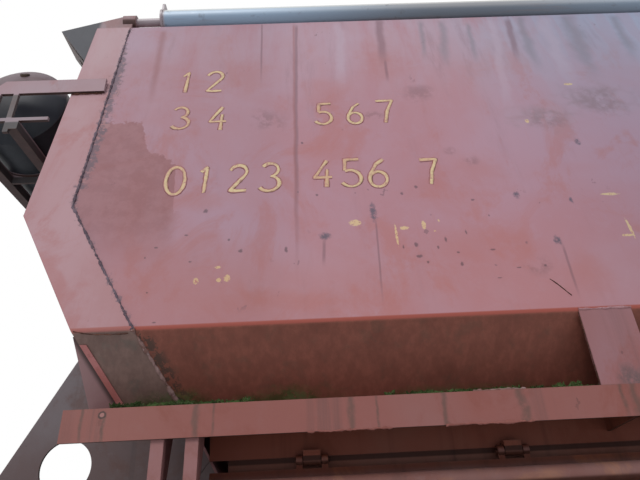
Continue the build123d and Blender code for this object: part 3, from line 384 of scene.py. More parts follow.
# below the fold: algae, crust beside the foot weld, and the post's web
def footDirt(s, color, algaeTop, reach, brushed, mottled, grain, ragged):
    level = s.line(s.noise(3.1, 4, 0.6, shift=(9, 0, 0)), -0.22, algaeTop + 0.11)
    damp = s.step(s.less(s.line(ragged, 0.07, s.z), level), 0.035, -0.03)
    algae = s.mix(s.step(mottled, 0.42, 0.58), (0.034, 0.06, 0.014), (0.075, 0.115, 0.038))
    color = s.coat(color, algae, damp, s.step(grain, 0.3, 0.5), 0.85)
    low = s.step(s.z, 1.95, 1.93)
    color = s.coat(color, (0.05, 0.036, 0.028), s.step(reach, 0.08, 0.03), low,
                   s.step(s.noise(38, 4, 0.75), 0.46, 0.54), 0.8, s.step(reach, -0.004, 0.004))
    web = s.mix(s.step(reach, -0.245, -0.22), s.mix(brushed, (0.23, 0.13, 0.125), (0.37, 0.225, 0.225)),
                (0.09, 0.055, 0.052))
    return s.coat(color, web, s.step(reach, -outline["flange"], -outline["flange"] - 0.003), low)


def shade(color, ratio):
    return tuple(c * ratio for c in color)


def agedPaint(name, look, wear=None):
    s = Surface(name, look.get("gloss", 0.22))
    clouds = s.noise(0.85, 4, 0.6, distort=0.5)
    brushed = s.noise(2.8, 6, 0.68, stretch=(1, 1, 0.75), shift=(4, 1, 7), distort=0.8)
    mottled, grain, ragged = s.noise(14, 5, 0.7), s.noise(75, 4, 0.7), s.noise(26, 5, 0.72)
    runs = s.noise(1.0, 4, 0.6, stretch=(9, 9, 0.45), shift=(0, 0, 3))
    fineRuns = s.noise(1.0, 5, 0.66, stretch=(38, 38, 0.9))
    color = s.mix(s.step(clouds, 0.36, 0.64), look["paint"], look["film"])
    color = s.coat(color, look["patch"], s.step(brushed, 0.5, 0.64), 0.6)
    color = s.coat(color, look["film"], s.step(mottled, 0.52, 0.66), 0.22)
    color = s.coat(color, look["patch"], s.step(fineRuns, 0.56, 0.76), 0.25)
    top = 1.0
    # painted sheen: paler, bluer colour high up and towards the top right, broken by streaks
    if "paleSheen" in look:
        top = s.step(s.z, 2.3, 3.85, 0.35, 1.0)
        high = s.step(s.line(clouds, 0.9, s.z), 3.3, 4.35)
        sheenStreaks = s.either([s.step(runs, 0.22, 0.58), s.step(s.x, -3.2, -2.4, 0.0, 0.75)])
        color = s.coat(color, s.mix(s.step(s.x, -3.5, -2.3), *look["paleSheen"]), high,
                       s.step(s.x, -4.6, -1.6, 0.45, 1.0), sheenStreaks, 0.8)
    color = s.coat(color, look["drip"], s.step(runs, 0.52, 0.72), s.step(fineRuns, 0.36, 0.62), top, look["drips"])
    if wear:
        color = wear(s, color, mottled, ragged)
    # each tint multiplies the colour past a height or a place; several are painted shade and painted reflection, as
    # noted at each look
    for axis, start, stop, ratio in look.get("tints", ()):
        color = s.mix(s.step(getattr(s, axis), start, stop), color, ratio, "MULTIPLY")
    few = s.step(s.noise(1.7, 3, 0.6, shift=(8, 2, 5)), 0.5, 0.62)
    chip = s.times(s.step(s.noise(19, 3, 0.6, stretch=(1, 1, 0.8), shift=(3, 3, 3)), 0.685, 0.7), few)
    color = s.coat(color, shade(look["drip"], 0.6), chip, look["chips"])
    if "seam" in look:
        reach = insideSeam(s)
        color = seamDirt(s, color, look["seam"], reach, ragged)
    # painted shade: a redder, darker colour on the fold's bend, where the sheet turns from facing out to facing down
    if "band" in look:
        color = s.coat(color, look["band"], s.step(s.up, 0.13, 0.02))
    # painted shade: the darker under colours, with runs and mottling, on faces that turn downward
    under = look["under"]
    undersideShadeRuns = s.mix(s.step(fineRuns, 0.36, 0.72), under, shade(under, 1.3))
    undersideShadeRuns = s.coat(undersideShadeRuns, shade(under, 0.7), s.step(runs, 0.45, 0.75), 0.5)
    undersideShadeRuns = s.coat(undersideShadeRuns, (under[0] * 0.55, under[1], under[2]), s.step(mottled, 0.52, 0.66), 0.3)
    color = s.coat(color, undersideShadeRuns, s.step(s.up, *((-0.25, -0.55) if "band" in look else (-0.15, -0.5))))
    color = s.coat(color, (0.13, 0.062, 0.045), s.worn(), s.step(ragged, 0.44, 0.6), 0.45)
    if "algaeTop" in look:
        color = footDirt(s, color, look["algaeTop"], reach, brushed, mottled, grain, ragged)
    waves = s.relief(s.noise(1.3, 3, 0.5, shift=(1, 5, 2)), 0.012)
    height = s.line(chip, -0.5, s.line(ragged, 0.45, s.times(grain, 0.3)))
    return s.finish(color, s.line(brushed, 0.26, look.get("roughness", 0.42)),
                    normal=s.relief(height, 0.0013, 0.8, waves))


wearOf = {"hopperPaint": hopperWear, "ledgePaint": stripWear, "stanchionPaint": stanchionWear}
materials = {name: agedPaint(name, look, wearOf.get(name)) for name, look in paintLooks.items()}
materials["hopperPaintFar"] = agedPaint("hopperPaintFar", paintLooks["hopperPaint"])
print("painted pieces finished")


# metal that is handled, greased or run on
def bareMetal(name, look):
    s = Surface(name)
    clouds, grain = s.noise(3.0, 6, 0.65, distort=0.5), s.noise(45, 5, 0.7)
    fineRuns = s.noise(1.0, 4, 0.6, stretch=(30, 30, 1.2))
    color = s.mix(s.step(clouds, 0.36, 0.64), look["dark"], look["light"])
    color = s.coat(color, look["rust"], s.step(grain, 0.55, 0.7), 0.55)
    color = s.coat(color, look["rust"], s.step(fineRuns, 0.5, 0.72), 0.35)
    color = s.coat(color, look["dust"], s.step(s.up, 0.55, 0.9), 0.5)
    color = s.coat(color, (0.3, 0.27, 0.25), s.worn(0.005), s.step(grain, 0.35, 0.55), 0.5)
    return s.finish(color, s.line(grain, 0.35, look["roughness"]), look["metallic"],
                    s.relief(s.math("ADD", grain, clouds), 0.002, 0.7))


metalLooks = {
    "bogieGrime": {
        "dark": (0.035, 0.026, 0.021), "light": (0.085, 0.058, 0.042), "rust": (0.14, 0.062, 0.03),
        "dust": (0.17, 0.13, 0.1), "roughness": 0.5, "metallic": 0.0},
    "greasedSteel": {
        "dark": (0.03, 0.028, 0.027), "light": (0.075, 0.066, 0.06), "rust": (0.12, 0.055, 0.03),
        "dust": (0.14, 0.11, 0.09), "roughness": 0.28, "metallic": 0.35},
}


# torsion tubes: faded grey-blue paint, coloured by facing as painted light: pale on top, a painted light-blue sky
# reflection on the sides and darker painted shade underneath, all greyer and browner along the wagon
def tubePaint(name):
    s = Surface(name, 0.5)
    runs = s.noise(1.0, 5, 0.66, stretch=(14, 14, 14), shift=(2, 0, 0))
    long = s.noise(1.0, 4, 0.6, stretch=(1.6, 20, 20))
    worn = s.times(s.step(s.reach, 4.2, 3.0), s.step(s.reach, 1.6, 2.8, 0.5, 1.0))
    # painted reflection and shade: colours by facing, duller away from the ends
    upper = s.mix(worn, (0.6, 0.62, 0.6), (0.52, 0.5, 0.47))
    middle = s.mix(worn, (0.42, 0.52, 0.63), (0.27, 0.27, 0.28))
    lower = s.mix(worn, (0.25, 0.33, 0.43), (0.125, 0.145, 0.175))
    color = s.mix(s.step(s.up, 0.05, 0.35), s.mix(s.step(s.up, -0.5, -0.1), lower, middle), upper)
    color = s.coat(color, (0.2, 0.15, 0.15), s.step(long, 0.54, 0.7), 0.4)
    color = s.coat(color, (0.1, 0.09, 0.095), s.step(runs, 0.6, 0.7), 0.4)
    color = s.coat(color, s.mix(runs, (0.24, 0.16, 0.15), (0.42, 0.32, 0.33)), s.step(s.reach, 4.63, 4.65), 0.85)
    return s.finish(color, s.line(runs, 0.3, 0.22), normal=s.relief(runs, 0.0015, 0.6))


def wheelSteel(name):
    s = Surface(name)
    fromAxle = s.less(s.math("ABSOLUTE", s.less(s.reach, running["pivot"])), running["axle"])
    lift = s.less(s.z, running["axleZ"])
    radius = s.math("SQRT", s.math("ADD", s.times(fromAxle, fromAxle), s.times(lift, lift)))
    tread = s.times(s.step(radius, 0.452, 0.456), s.step(s.out, 0.7, 0.708))
    color = s.mix(s.step(s.noise(5, 5, 0.6), 0.38, 0.62), (0.06, 0.036, 0.025), (0.13, 0.068, 0.04))
    color = s.coat(color, (0.075, 0.055, 0.045), s.step(radius, 0.34, 0.42), 0.6)
    color = s.coat(color, (0.42, 0.4, 0.385), tread)
    return s.finish(color, s.line(tread, -0.51, 0.78), s.times(tread, 0.95), s.relief(s.noise(38, 5, 0.7), 0.0014, 0.7))


# which finish each piece of the part wears, by the start of its name
pieceFinishes = {
    "hopperPaint": "side_wall_near", "hopperPaintFar": "side_wall_far", "postPaint": "corner_post",
    "stanchionPaint": "stanchions", "ledgePaint": "ledge", "bracketPaint": "reservoir_brackets",
    "bearingPaint": "roof_bearings", "endPaint": "end_wall top_rail headstock ladder hopper_ties saddle_floor",
    "platformPaint": "end_platform", "hangerPaint": "cross_beam", "roofPaint": "roof_skin",
    "framePaint": "centre_sill saddle_frames bolster", "headerRust": "door_header", "doorRust": "door_near door_far",
    "reservoirPaint": "air_reservoir", "wheelSteel": "wheelset",
    "bogieGrime": "bogie_frame axleboxes brake_rigging brake_gear bogie_springs",
    "greasedSteel": "buffers draw_gear", "tubePaint": "roof_tube",
}
materials.update({name: bareMetal(name, look) for name, look in metalLooks.items()})
materials.update({"tubePaint": tubePaint("tubePaint"), "wheelSteel": wheelSteel("wheelSteel")})
for finish, pieces in pieceFinishes.items():
    for node in nodes:
        if any(node == piece or node.startswith(piece + "_") for piece in pieces.split()):
            nodes[node].data.materials.clear()
            nodes[node].data.materials.append(materials[finish])
print("metal pieces finished")


# Geometry Nodes builder: what it grows ends realized and in one material
class Growth:
    def __init__(self, name, inputs):
        self.tree = bpy.data.node_groups.new(name, "GeometryNodeTree")
        self.tree.interface.new_socket("Geometry", in_out="INPUT", socket_type="NodeSocketGeometry")
        for label, value in inputs.items():
            self.tree.interface.new_socket(label, in_out="INPUT", socket_type="NodeSocketFloat").default_value = value
        self.tree.interface.new_socket("Material", in_out="INPUT", socket_type="NodeSocketMaterial")
        self.tree.interface.new_socket("Geometry", in_out="OUTPUT", socket_type="NodeSocketGeometry")
        self.given = self.tree.nodes.new("NodeGroupInput").outputs

    def add(self, kind, inputs=(), give=0, **settings):
        return treeNode(self.tree, kind, inputs, **settings).outputs[give]

    def math(self, operation, *values):
        return self.add("ShaderNodeMath", values, operation=operation)

    def attribute(self, name, kind):
        return self.add("GeometryNodeInputNamedAttribute", {"Name": name}, "Attribute", data_type=kind)

    def finish(self, geometry):
        real = self.add("GeometryNodeRealizeInstances", [geometry])
        dressed = self.add("GeometryNodeSetMaterial", {"Geometry": real, "Material": self.given["Material"]})
        self.tree.links.new(dressed, self.tree.nodes.new("NodeGroupOutput").inputs[0])
        return self.tree


def grown(name, source, tree, values, material, body="wagon"):
    modifier = source.modifiers.new(name, "NODES")
    modifier.node_group = tree
    values = {**values, "Material": materials[material]}
    for item in tree.interface.items_tree:
        if item.in_out == "INPUT" and item.name in values:
            modifier[item.identifier] = values[item.name]
    scene.collection.objects.link(source)
    solved = source.evaluated_get(bpy.context.evaluated_depsgraph_get())
    mesh = bpy.data.meshes.new_from_object(solved)
    source.modifiers.remove(modifier)
    bpy.data.objects.remove(source)
    return placed(name, mesh, material, body)


def placed(name, mesh, material, body="wagon"):
    mesh.name = name
    if material not in mesh.materials:
        mesh.materials.append(materials[material])
    for vertex in mesh.vertices:
        vertex.co.y = min(outline["widest"], max(-outline["widest"], vertex.co.y))
    piece = bpy.data.objects.new(name, mesh)
    scene.collection.objects.link(piece)
    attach(piece, body)
    print(name, len(mesh.polygons), "faces")
    return piece


def meshOf(points, faces=()):
    mesh = bpy.data.meshes.new("shape")
    mesh.from_pydata(points, [], faces)
    return mesh


# points with attributes, from rows of place, direction and size
def pointCloud(rows):
    mesh = meshOf([row[0] for row in rows])
    aims = [value for row in rows for value in row[1]]
    mesh.attributes.new("aim", "FLOAT_VECTOR", "POINT").data.foreach_set("vector", aims)
    mesh.attributes.new("size", "FLOAT", "POINT").data.foreach_set("value", [row[2] for row in rows])
    return bpy.data.objects.new("points", mesh)


def polyCurve(lines):
    data = bpy.data.curves.new("lines", "CURVE")
    data.dimensions = "3D"
    for line in lines:
        spline = data.splines.new("POLY")
        spline.points.add(len(line) - 1)
        for point, place in zip(spline.points, line):
            point.co = (*place, 1)
    return bpy.data.objects.new("lines", data)


# weld bead, crust of dirt or brush stroke that follows a line
def beadTree():
    g = Growth("beadAlongLine", {"Spacing": 0.008, "Thickness": 0.006, "Unevenness": 0.5, "Lumps": 50.0,
                                 "Wander": 0.004, "Ripple": 55.0})
    line = g.add("GeometryNodeResampleCurve", {"Curve": g.given["Geometry"], "Length": g.given["Spacing"]},
                 mode="LENGTH")
    low, high = (g.math(way, 1.0, g.given["Unevenness"]) for way in ("SUBTRACT", "ADD"))
    lump = g.add("ShaderNodeTexNoise", {"Scale": g.given["Lumps"], "Detail": 3.0}, "Fac")
    swell = g.add("ShaderNodeMapRange", [lump, 0.32, 0.68, low, high])
    thick = g.math("MULTIPLY", swell, g.given["Thickness"])
    swollen = g.add("GeometryNodeSetCurveRadius", {"Curve": line, "Radius": thick})
    ring = g.add("GeometryNodeCurvePrimitiveCircle", {"Resolution": 7, "Radius": 1.0})
    bead = g.add("GeometryNodeCurveToMesh", {"Curve": swollen, "Profile Curve": ring, "Scale": thick,
                                             "Fill Caps": True})
    ripple = g.add("ShaderNodeTexNoise", {"Scale": g.given["Ripple"], "Detail": 3.0}, "Color")
    centred = g.add("ShaderNodeVectorMath", [ripple, (0.5, 0.5, 0.5)], operation="SUBTRACT")
    pushed = g.add("ShaderNodeVectorMath", {0: centred, "Scale": g.given["Wander"]}, operation="SCALE")
    return g.finish(g.add("GeometryNodeSetPosition", {"Geometry": bead, "Offset": pushed}))


# small shapes set on points, turned along each point's aim and scaled by its size
def setOnPoints(name, size, shapes, turnAxis):
    g = Growth(name, {"Size": size})
    whole = g.tree.nodes.new("GeometryNodeJoinGeometry")
    for kind, values, stretch in shapes:
        shaped = g.add("GeometryNodeTransform", {"Geometry": g.add(kind, values, "Mesh"), "Scale": stretch})
        g.tree.links.new(shaped, whole.inputs[0])
    facing = g.add("FunctionNodeAlignRotationToVector", {"Vector": g.attribute("aim", "FLOAT_VECTOR")},
                   axis=turnAxis)
    scale = g.math("MULTIPLY", g.attribute("size", "FLOAT"), g.given["Size"])
    return g.finish(g.add("GeometryNodeInstanceOnPoints", {"Points": g.given["Geometry"], "Rotation": facing,
                                                           "Instance": whole.outputs[0], "Scale": scale}))


# coil spring standing on each point
def springTree():
    g = Growth("coilSprings", {"Turns": 6.0, "Radius": 0.06, "Wire": 0.014, "Height": 0.3})
    coil = g.add("GeometryNodeCurveSpiral", {"Resolution": 22, "Rotations": g.given["Turns"],
                                             "Start Radius": g.given["Radius"], "End Radius": g.given["Radius"],
                                             "Height": g.given["Height"]})
    ring = g.add("GeometryNodeCurvePrimitiveCircle", {"Resolution": 9, "Radius": g.given["Wire"]})
    wire = g.add("GeometryNodeCurveToMesh", {"Curve": coil, "Profile Curve": ring, "Fill Caps": True})
    return g.finish(g.add("GeometryNodeInstanceOnPoints", {"Points": g.given["Geometry"], "Instance": wire}))


cylinder, cone = "GeometryNodeMeshCylinder", "GeometryNodeMeshCone"
beadNodes, springNodes = beadTree(), springTree()
boltNodes = setOnPoints("boltHeads", 0.013,
                        [(cylinder, {"Vertices": 14, "Radius": 1.55, "Depth": 0.4}, (1, 1, 1)),
                         (cylinder, {"Vertices": 6, "Radius": 1.0, "Depth": 1.8}, (1, 1, 1)),
                         (cylinder, {"Vertices": 8, "Radius": 0.5, "Depth": 2.6}, (1, 1, 1))], "Z")
treadNodes = setOnPoints("treadLozenges", 1.0,
                         [(cylinder, {"Vertices": 4, "Radius": 0.019, "Depth": 0.003}, (1, 0.3, 1))], "X")
mossNodes = setOnPoints("mossBlades", 1.0,
                        [(cone, {"Vertices": 4, "Radius Top": 0.0006, "Radius Bottom": 0.0024, "Depth": 0.009},
                          (1, 1, 1))], "Z")


# bogie springs: an outer and an inner coil on each seat
springs = {"outer": (0.064, 0.0145, 5.5), "inner": (0.036, 0.009, 8.25), "pitch": 0.215, "y": 1.0, "seat": 0.41,
           "top": 0.704}
for end, endSign in ends.items():
    inset = springs["outer"][1]
    seats = [((endSign * running["pivot"] + axle * running["axle"] + place * springs["pitch"], side * springs["y"],
               springs["seat"] + inset), (0, 0, 1), 1.0)
             for side in (-1, 1) for axle in (-1, 1) for place in (-1, 1)]
    for layer in ("outer", "inner"):
        radius, wire, turns = springs[layer]
        coils = grown(f"spring_{layer}_{end}", pointCloud(seats), springNodes,
                      {"Turns": turns, "Radius": radius, "Wire": wire,
                       "Height": springs["top"] - springs["seat"] - 2 * inset},
                      "bogieGrime", f"bogie_{end}")
        if layer == "outer":
            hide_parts(f"bogie_springs_{end}")
        for polygon in coils.data.polygons:
            polygon.use_smooth = True


# crusts, welds and stains that stand on the steel: dark, light, streaks
crustLooks = {
    "weldCrust": ((0.085, 0.06, 0.075), (0.155, 0.115, 0.14), (0.34, 0.2, 0.2)),
    "footWeld": ((0.17, 0.09, 0.075), (0.27, 0.17, 0.155), (0.38, 0.28, 0.27)),
    "barPaint": ((0.36, 0.125, 0.11), (0.42, 0.17, 0.16), (0.28, 0.1, 0.09)),
    "paintWeld": ((0.26, 0.12, 0.12), (0.36, 0.19, 0.2), (0.5, 0.36, 0.37)),
    "rustCrust": ((0.045, 0.018, 0.013), (0.11, 0.045, 0.03), (0.2, 0.09, 0.055)),
    "stripCrust": ((0.18, 0.062, 0.05), (0.24, 0.088, 0.072), (0.14, 0.075, 0.06)),
}


def crust(name, dark, light, streak):
    s = Surface(name, 0.15)
    grain = s.noise(90, 5, 0.75)
    color = s.mix(s.step(s.noise(11, 4, 0.65), 0.38, 0.62), dark, light)
    color = s.coat(color, streak, s.step(grain, 0.54, 0.66), 0.7)
    return s.finish(color, 0.75, normal=s.relief(grain, 0.0012, 0.9))


materials.update({name: crust(name, *look) for name, look in crustLooks.items()})
welds = {"post": 0.0052, "foot": 0.0062, "lip": 0.0042, "seam": 0.003, "beam": 0.0045, "pitch": 0.02, "rows": 97,
         "beamZ": 3.283, "beamX": (-5.018, -4.98, -4.94, -4.9, -4.868)}
stanchion = {"pitch": 1.863, "count": 4, "half": 0.095, "lipY": 1.499, "lipZ": 1.949, "seamY": 1.494,
             "seamZ": (1.681, 1.94)}
# cracks in the paint: thickness, wander, points
cracks = {
    "post_crack": (0.002, 0.005, [(-4.686, -1.5015, 1.948), (-4.65, -1.5015, 1.938), (-4.607, -1.502, 1.933),
                                  (-4.55, -1.502, 1.93), (-4.493, -1.5015, 1.932)]),
    "panel_crack": (0.0016, 0.004, [(-2.951, -1.4805, 2.08), (-2.923, -1.4853, 2.048), (-2.894, -1.4915, 2.006)]),
}
# crusts along the ledge's strip: where each starts and stops
strip = {"footY": 1.499, "footZ": 1.576, "topY": 1.493, "topZ": 1.681,
         "foot": ((-3.875, -3.6), (-3.43, -3.14), (-1.4, -0.9), (0.6, 1.5), (2.9, 3.4)),
         "top": ((-3.32, -3.14), (-2.8, -2.62), (-1.0, -0.6), (1.7, 2.1), (3.6, 3.9))}


def weld(name, lines, material, thickness, **given):
    values = {"Spacing": 0.006, "Thickness": thickness, "Unevenness": 0.55, "Lumps": 50.0, "Wander": 0.008, **given}
    return grown(name, polyCurve(lines), beadNodes, values, material)


def bothSides(y, z, spans):
    return [[(x, side * y, z) for x in span] for side in (-1, 1) for span in spans]


for side, sideSign in sides.items():
    for end, endSign in ends.items():
        heights = [outline["foldZ"] + welds["pitch"] * n for n in range(welds["rows"])]
        line = [(endSign * endAt(z), sideSign * (sideAt(z) + 0.001), z) for z in heights]
        weld(f"post_weld_{side}_{end}", [line], "weldCrust", welds["post"])
        foot = [(endSign * endAt(outline["ledgeZ"]), sideSign * (outline["footY"] + 0.004),
                 outline["ledgeZ"] + 0.004),
                (endSign * endAt(outline["foldZ"]), sideSign * (outline["foldY"] + 0.001), outline["foldZ"])]
        weld(f"foot_weld_{side}_{end}", [foot], "footWeld", welds["foot"], Wander=0.012)
    lips, seams = [], []
    for n in range(stanchion["count"]):
        middle = stanchion["pitch"] * (n - (stanchion["count"] - 1) / 2)
        edges = (middle - stanchion["half"], middle + stanchion["half"])
        lips.append([(x, sideSign * stanchion["lipY"], stanchion["lipZ"]) for x in edges])
        seams += [[(x, sideSign * stanchion["seamY"], z) for z in stanchion["seamZ"]] for x in edges]
    weld(f"stanchion_lips_{side}", lips, "paintWeld", welds["lip"])
    weld(f"stanchion_seams_{side}", seams, "rustCrust", welds["seam"], Wander=0.004)
for name, (thickness, wander, line) in cracks.items():
    weld(name, [line], "rustCrust", thickness, Wander=wander)
weld("beam_welds", bothSides(sideAt(welds["beamZ"]) + 0.006, welds["beamZ"], [welds["beamX"]]), "rustCrust",
     welds["beam"], Wander=0.009)
feet = [(start, (start + stop) / 2, stop) for start, stop in strip["foot"]]
weld("strip_crust", bothSides(strip["footY"], strip["footZ"], feet), "stripCrust", 0.0032, Wander=0.012,
     Unevenness=0.9, Lumps=60.0)
weld("strip_crumbs", bothSides(strip["topY"], strip["topZ"], strip["top"]), "footWeld", 0.0035, Wander=0.01,
     Unevenness=0.9, Lumps=70.0)
print("welds laid")


# bolts at the buffers, the draw hooks and the axlebox covers
bolts = {"z": 1.088, "bufferX": 5.677, "bufferY": 0.875, "bufferSpread": 0.137, "bufferSize": 1.15, "hookX": 5.681,
         "hookSpread": 0.085, "coverY": 1.129, "coverRadius": 0.073, "coverCount": 6, "coverSize": 0.75}
# columns: place, direction, size
boltRows = {"wagon": [], "bogie_a": [], "bogie_b": []}
for end, endSign in ends.items():
    for middle, x, spread, size in ((-bolts["bufferY"], bolts["bufferX"], bolts["bufferSpread"], bolts["bufferSize"]),
                                    (bolts["bufferY"], bolts["bufferX"], bolts["bufferSpread"], bolts["bufferSize"]),
                                    (0, bolts["hookX"], bolts["hookSpread"], 1.0)):
        boltRows["wagon"] += [((endSign * x, middle + u * spread, bolts["z"] + v * spread), (endSign, 0, 0), size)
                              for u in (-1, 1) for v in (-1, 1)]
    for side in (-1, 1):
        for axle in (-1, 1):
            for n in range(bolts["coverCount"]):
                turn = n * 2 * pi / bolts["coverCount"] + 0.3
                along = endSign * running["pivot"] + axle * running["axle"] + bolts["coverRadius"] * cos(turn)
                boltRows[f"bogie_{end}"].append(((along, side * bolts["coverY"],
                                                  running["axleZ"] + bolts["coverRadius"] * sin(turn)),
                                                 (0, side, 0), bolts["coverSize"]))
for body, rows in boltRows.items():
    finish, slot = ("rustCrust", "body_paint") if body == "wagon" else ("bogieGrime", "bogie_grime")
    grown(f"bolts_{body}", pointCloud(rows), boltNodes, {"Size": 0.013}, finish, body)


# tread plate on the end platforms
tread = {"pitch": 0.046, "x": (4.92, 5.63), "y": 1.22, "top": 1.3205, "gussetY": 0.62, "gap": 0.03}
for end, endSign in ends.items():
    rows = []
    for i in range(int((tread["x"][1] - tread["x"][0]) / tread["pitch"])):
        for j in range(int(2 * tread["y"] / tread["pitch"])):
            x, y = tread["x"][0] + (i + 0.5) * tread["pitch"], -tread["y"] + (j + 0.5) * tread["pitch"]
            if abs(abs(y) - tread["gussetY"]) > tread["gap"]:
                rows.append(((endSign * x, y, tread["top"]), (1, 1 if (i + j) % 2 else -1, 0), 1.0))
    grown(f"tread_{end}", pointCloud(rows), treadNodes, {"Size": 1.0}, "endPaint")


# moss along the ledges, thickest on both sides of the photographed post's foot
def mossGreen(name):
    s = Surface(name, 0.1)
    tone = s.noise(60, 4, 0.7)
    color = s.mix(s.step(s.noise(9, 3, 0.6), 0.4, 0.6), (0.024, 0.04, 0.012), (0.05, 0.082, 0.025))
    color = s.coat(color, (0.17, 0.18, 0.11), s.step(tone, 0.58, 0.68), 0.5)
    color = s.coat(color, (0.05, 0.03, 0.015), s.step(tone, 0.45, 0.36), 0.6)
    return s.finish(color, 0.9, normal=s.relief(tone, 0.001, 0.6))


materials["mossGreen"] = mossGreen("mossGreen")
moss = {"seed": 11, "floor": 1.6795, "tufts": 240, "thickShare": 0.75, "thickX": ((-4.52, -4.05), (-3.62, -2.78)),
        "thinX": (-4.4, 4.4), "bladesPerTuft": 26, "wallY": 1.3, "edgeY": 1.486, "lastY": 1.492}
rand = Random(moss["seed"])
for side, sideSign in sides.items():
    blades, cushions = [], []
    for n in range(moss["tufts"]):
        thick = n < moss["tufts"] * moss["thickShare"]
        x = rand.choice([rand.uniform(*span) for span in moss["thickX"]]) if thick else rand.uniform(*moss["thinX"])
        y = rand.uniform(moss["wallY"] + (0.12 if thick else 0.06), moss["edgeY"])
        spread, tall = rand.uniform(0.006, 0.02), rand.uniform(0.8, 2.3 if thick else 1.6)
        low = moss["floor"] + 0.002
        cushions.append([(x - spread, sideSign * y, low), (x, sideSign * y, low + 0.002 * tall),
                         (x + spread, sideSign * y, low)])
        for m in range(moss["bladesPerTuft"]):
            turn, away = rand.uniform(0, 2 * pi), rand.uniform(0, spread)
            where = (x + away * cos(turn), min(y + away * sin(turn), moss["lastY"]) * sideSign,
                     moss["floor"] + rand.uniform(-0.001, 0.004) * tall)
            blades.append((where, (0.8 * cos(turn), 0.8 * sin(turn), 1.0), tall * rand.uniform(0.5, 1.0)))
    grown(f"moss_{side}", pointCloud(blades), mossNodes, {"Size": 1.0}, "mossGreen")
    grown(f"moss_cushions_{side}", polyCurve(cushions), beadNodes,
          {"Spacing": 0.005, "Thickness": 0.0055, "Unevenness": 0.7, "Lumps": 90.0, "Wander": 0.008}, "mossGreen")
print("moss grown")


# a profile of distance and radius, turned about an axis
def turned(profile, place, axis, count, closed=False):
    along = Vector(axis).normalized()
    u = Vector((0, 0, 1))
    u = (u - along * u.dot(along)).normalized()
    v = along.cross(u)
    points = [Vector(place) + along * d + (u * cos(2 * pi * n / count) + v * sin(2 * pi * n / count)) * r
              for d, r in profile for n in range(count)]
    rows = len(profile)
    faces = [(i * count + n, i * count + (n + 1) % count, (i + 1) % rows * count + (n + 1) % count,
              (i + 1) % rows * count + n) for i in range(rows if closed else rows - 1) for n in range(count)]
    if not closed:
        faces += [tuple(range(count))[::-1], tuple((rows - 1) * count + n for n in range(count))]
    return meshOf(points, faces)


def sixSided(corners):
    return meshOf(corners, [(0, 1, 3, 2), (4, 6, 7, 5), (0, 4, 5, 1), (2, 3, 7, 6), (1, 5, 7, 3), (0, 2, 6, 4)])


def pieceOf(name, meshes, material):
    shape = bmesh.new()
    for mesh in meshes:
        shape.from_mesh(mesh)
    bmesh.ops.recalc_face_normals(shape, faces=shape.faces)
    whole = bpy.data.meshes.new(name)
    shape.to_mesh(whole)
    shape.free()
    return placed(name, whole, material)


# bright bar along the outer edge of each post's foot, and the closing strips above the doors
bar = {"width": 0.024, "thick": 0.006, "sunk": 0.004, "heights": (1.685, 1.905)}
closing = {"x": (-4.16, 4.16), "y": (1.2735, 1.2795), "z": (1.468, 1.54)}
bars, strips = [], []
for sideSign in sides.values():
    for endSign in ends.values():
        corners = []
        for z in bar["heights"]:
            share = (z - outline["ledgeZ"]) / (outline["foldZ"] - outline["ledgeZ"])
            surface = outline["footY"] + share * (outline["foldY"] - outline["footY"])
            edge = endAt(z) + outline["flange"] - 0.001
            corners += [(endSign * x, sideSign * y, z) for x in (edge - bar["width"], edge)
                        for y in (surface - bar["sunk"], surface + bar["sunk"] + bar["thick"])]
        bars.append(sixSided(corners))
    strips.append(sixSided([(x, sideSign * y, z) for z in closing["z"] for x in closing["x"] for y in closing["y"]]))
pieceOf("foot_bars", bars, "barPaint")
pieceOf("closing_strips", strips, "headerRust")

# reservoir: the straps that hold it in its saddles, and a filler port on each domed end
reservoir = {"x": -5.385, "z": 3.36, "radius": 0.26, "strapY": 0.866, "strapHalf": 0.025, "strapThick": 0.004,
             "port": [(-0.02, 0.024), (0.006, 0.024), (0.01, 0.02), (0.01, 0.014), (0.003, 0.011)],
             "portPlace": (-5.358, 1.198, 3.54), "portAxis": (0.02, 0.72, 0.69)}
inner, outer = reservoir["radius"] + 0.0002, reservoir["radius"] + reservoir["strapThick"]
half = reservoir["strapHalf"]
straps = [turned([(-half, inner), (half, inner), (half, outer), (-half, outer)],
                 (reservoir["x"], side * reservoir["strapY"], reservoir["z"]), (0, 1, 0), 72, closed=True)
          for side in (-1, 1)]
pieceOf("reservoir_straps", straps, "bracketPaint")
ports = [turned(reservoir["port"], *[(x, side * y, z) for x, y, z in (reservoir["portPlace"], reservoir["portAxis"])],
                24) for side in (-1, 1)]
pieceOf("reservoir_ports", ports, "bogieGrime")
print("reservoir dressed")


# plain painted numbers, brushed on by hand, on the photographed side
def arc(centreX, centreY, radiusX, radiusY, start, stop, count=14):
    angles = [radians(start + (stop - start) * n / (count - 1)) for n in range(count)]
    return [(centreX + radiusX * cos(a), centreY + radiusY * sin(a)) for a in angles]


numberStrokes = {
    "0": [arc(0.32, 0.5, 0.3, 0.48, 80, 440, 22)],
    "1": [[(0.16, 0.8), (0.34, 0.98), (0.33, 0.5), (0.32, 0.02)]],
    "2": [arc(0.32, 0.73, 0.28, 0.25, 165, -25, 12) + [(0.1, 0.05), (0.3, 0.03), (0.64, 0.04)]],
    "3": [arc(0.28, 0.74, 0.26, 0.23, 150, -75, 12), arc(0.28, 0.27, 0.32, 0.25, 85, -150)],
    "4": [[(0.45, 0.98), (0.05, 0.36), (0.62, 0.37)], [(0.46, 0.66), (0.45, 0.02)]],
    "5": [[(0.6, 0.97), (0.16, 0.96), (0.12, 0.58)], arc(0.28, 0.31, 0.32, 0.28, 118, -150)],
    "6": [[(0.52, 0.97), (0.28, 0.8), (0.1, 0.48)] + arc(0.33, 0.28, 0.27, 0.26, 170, 500, 18)],
    "7": [[(0.04, 0.95), (0.62, 0.96), (0.38, 0.5), (0.26, 0.02)]],
}
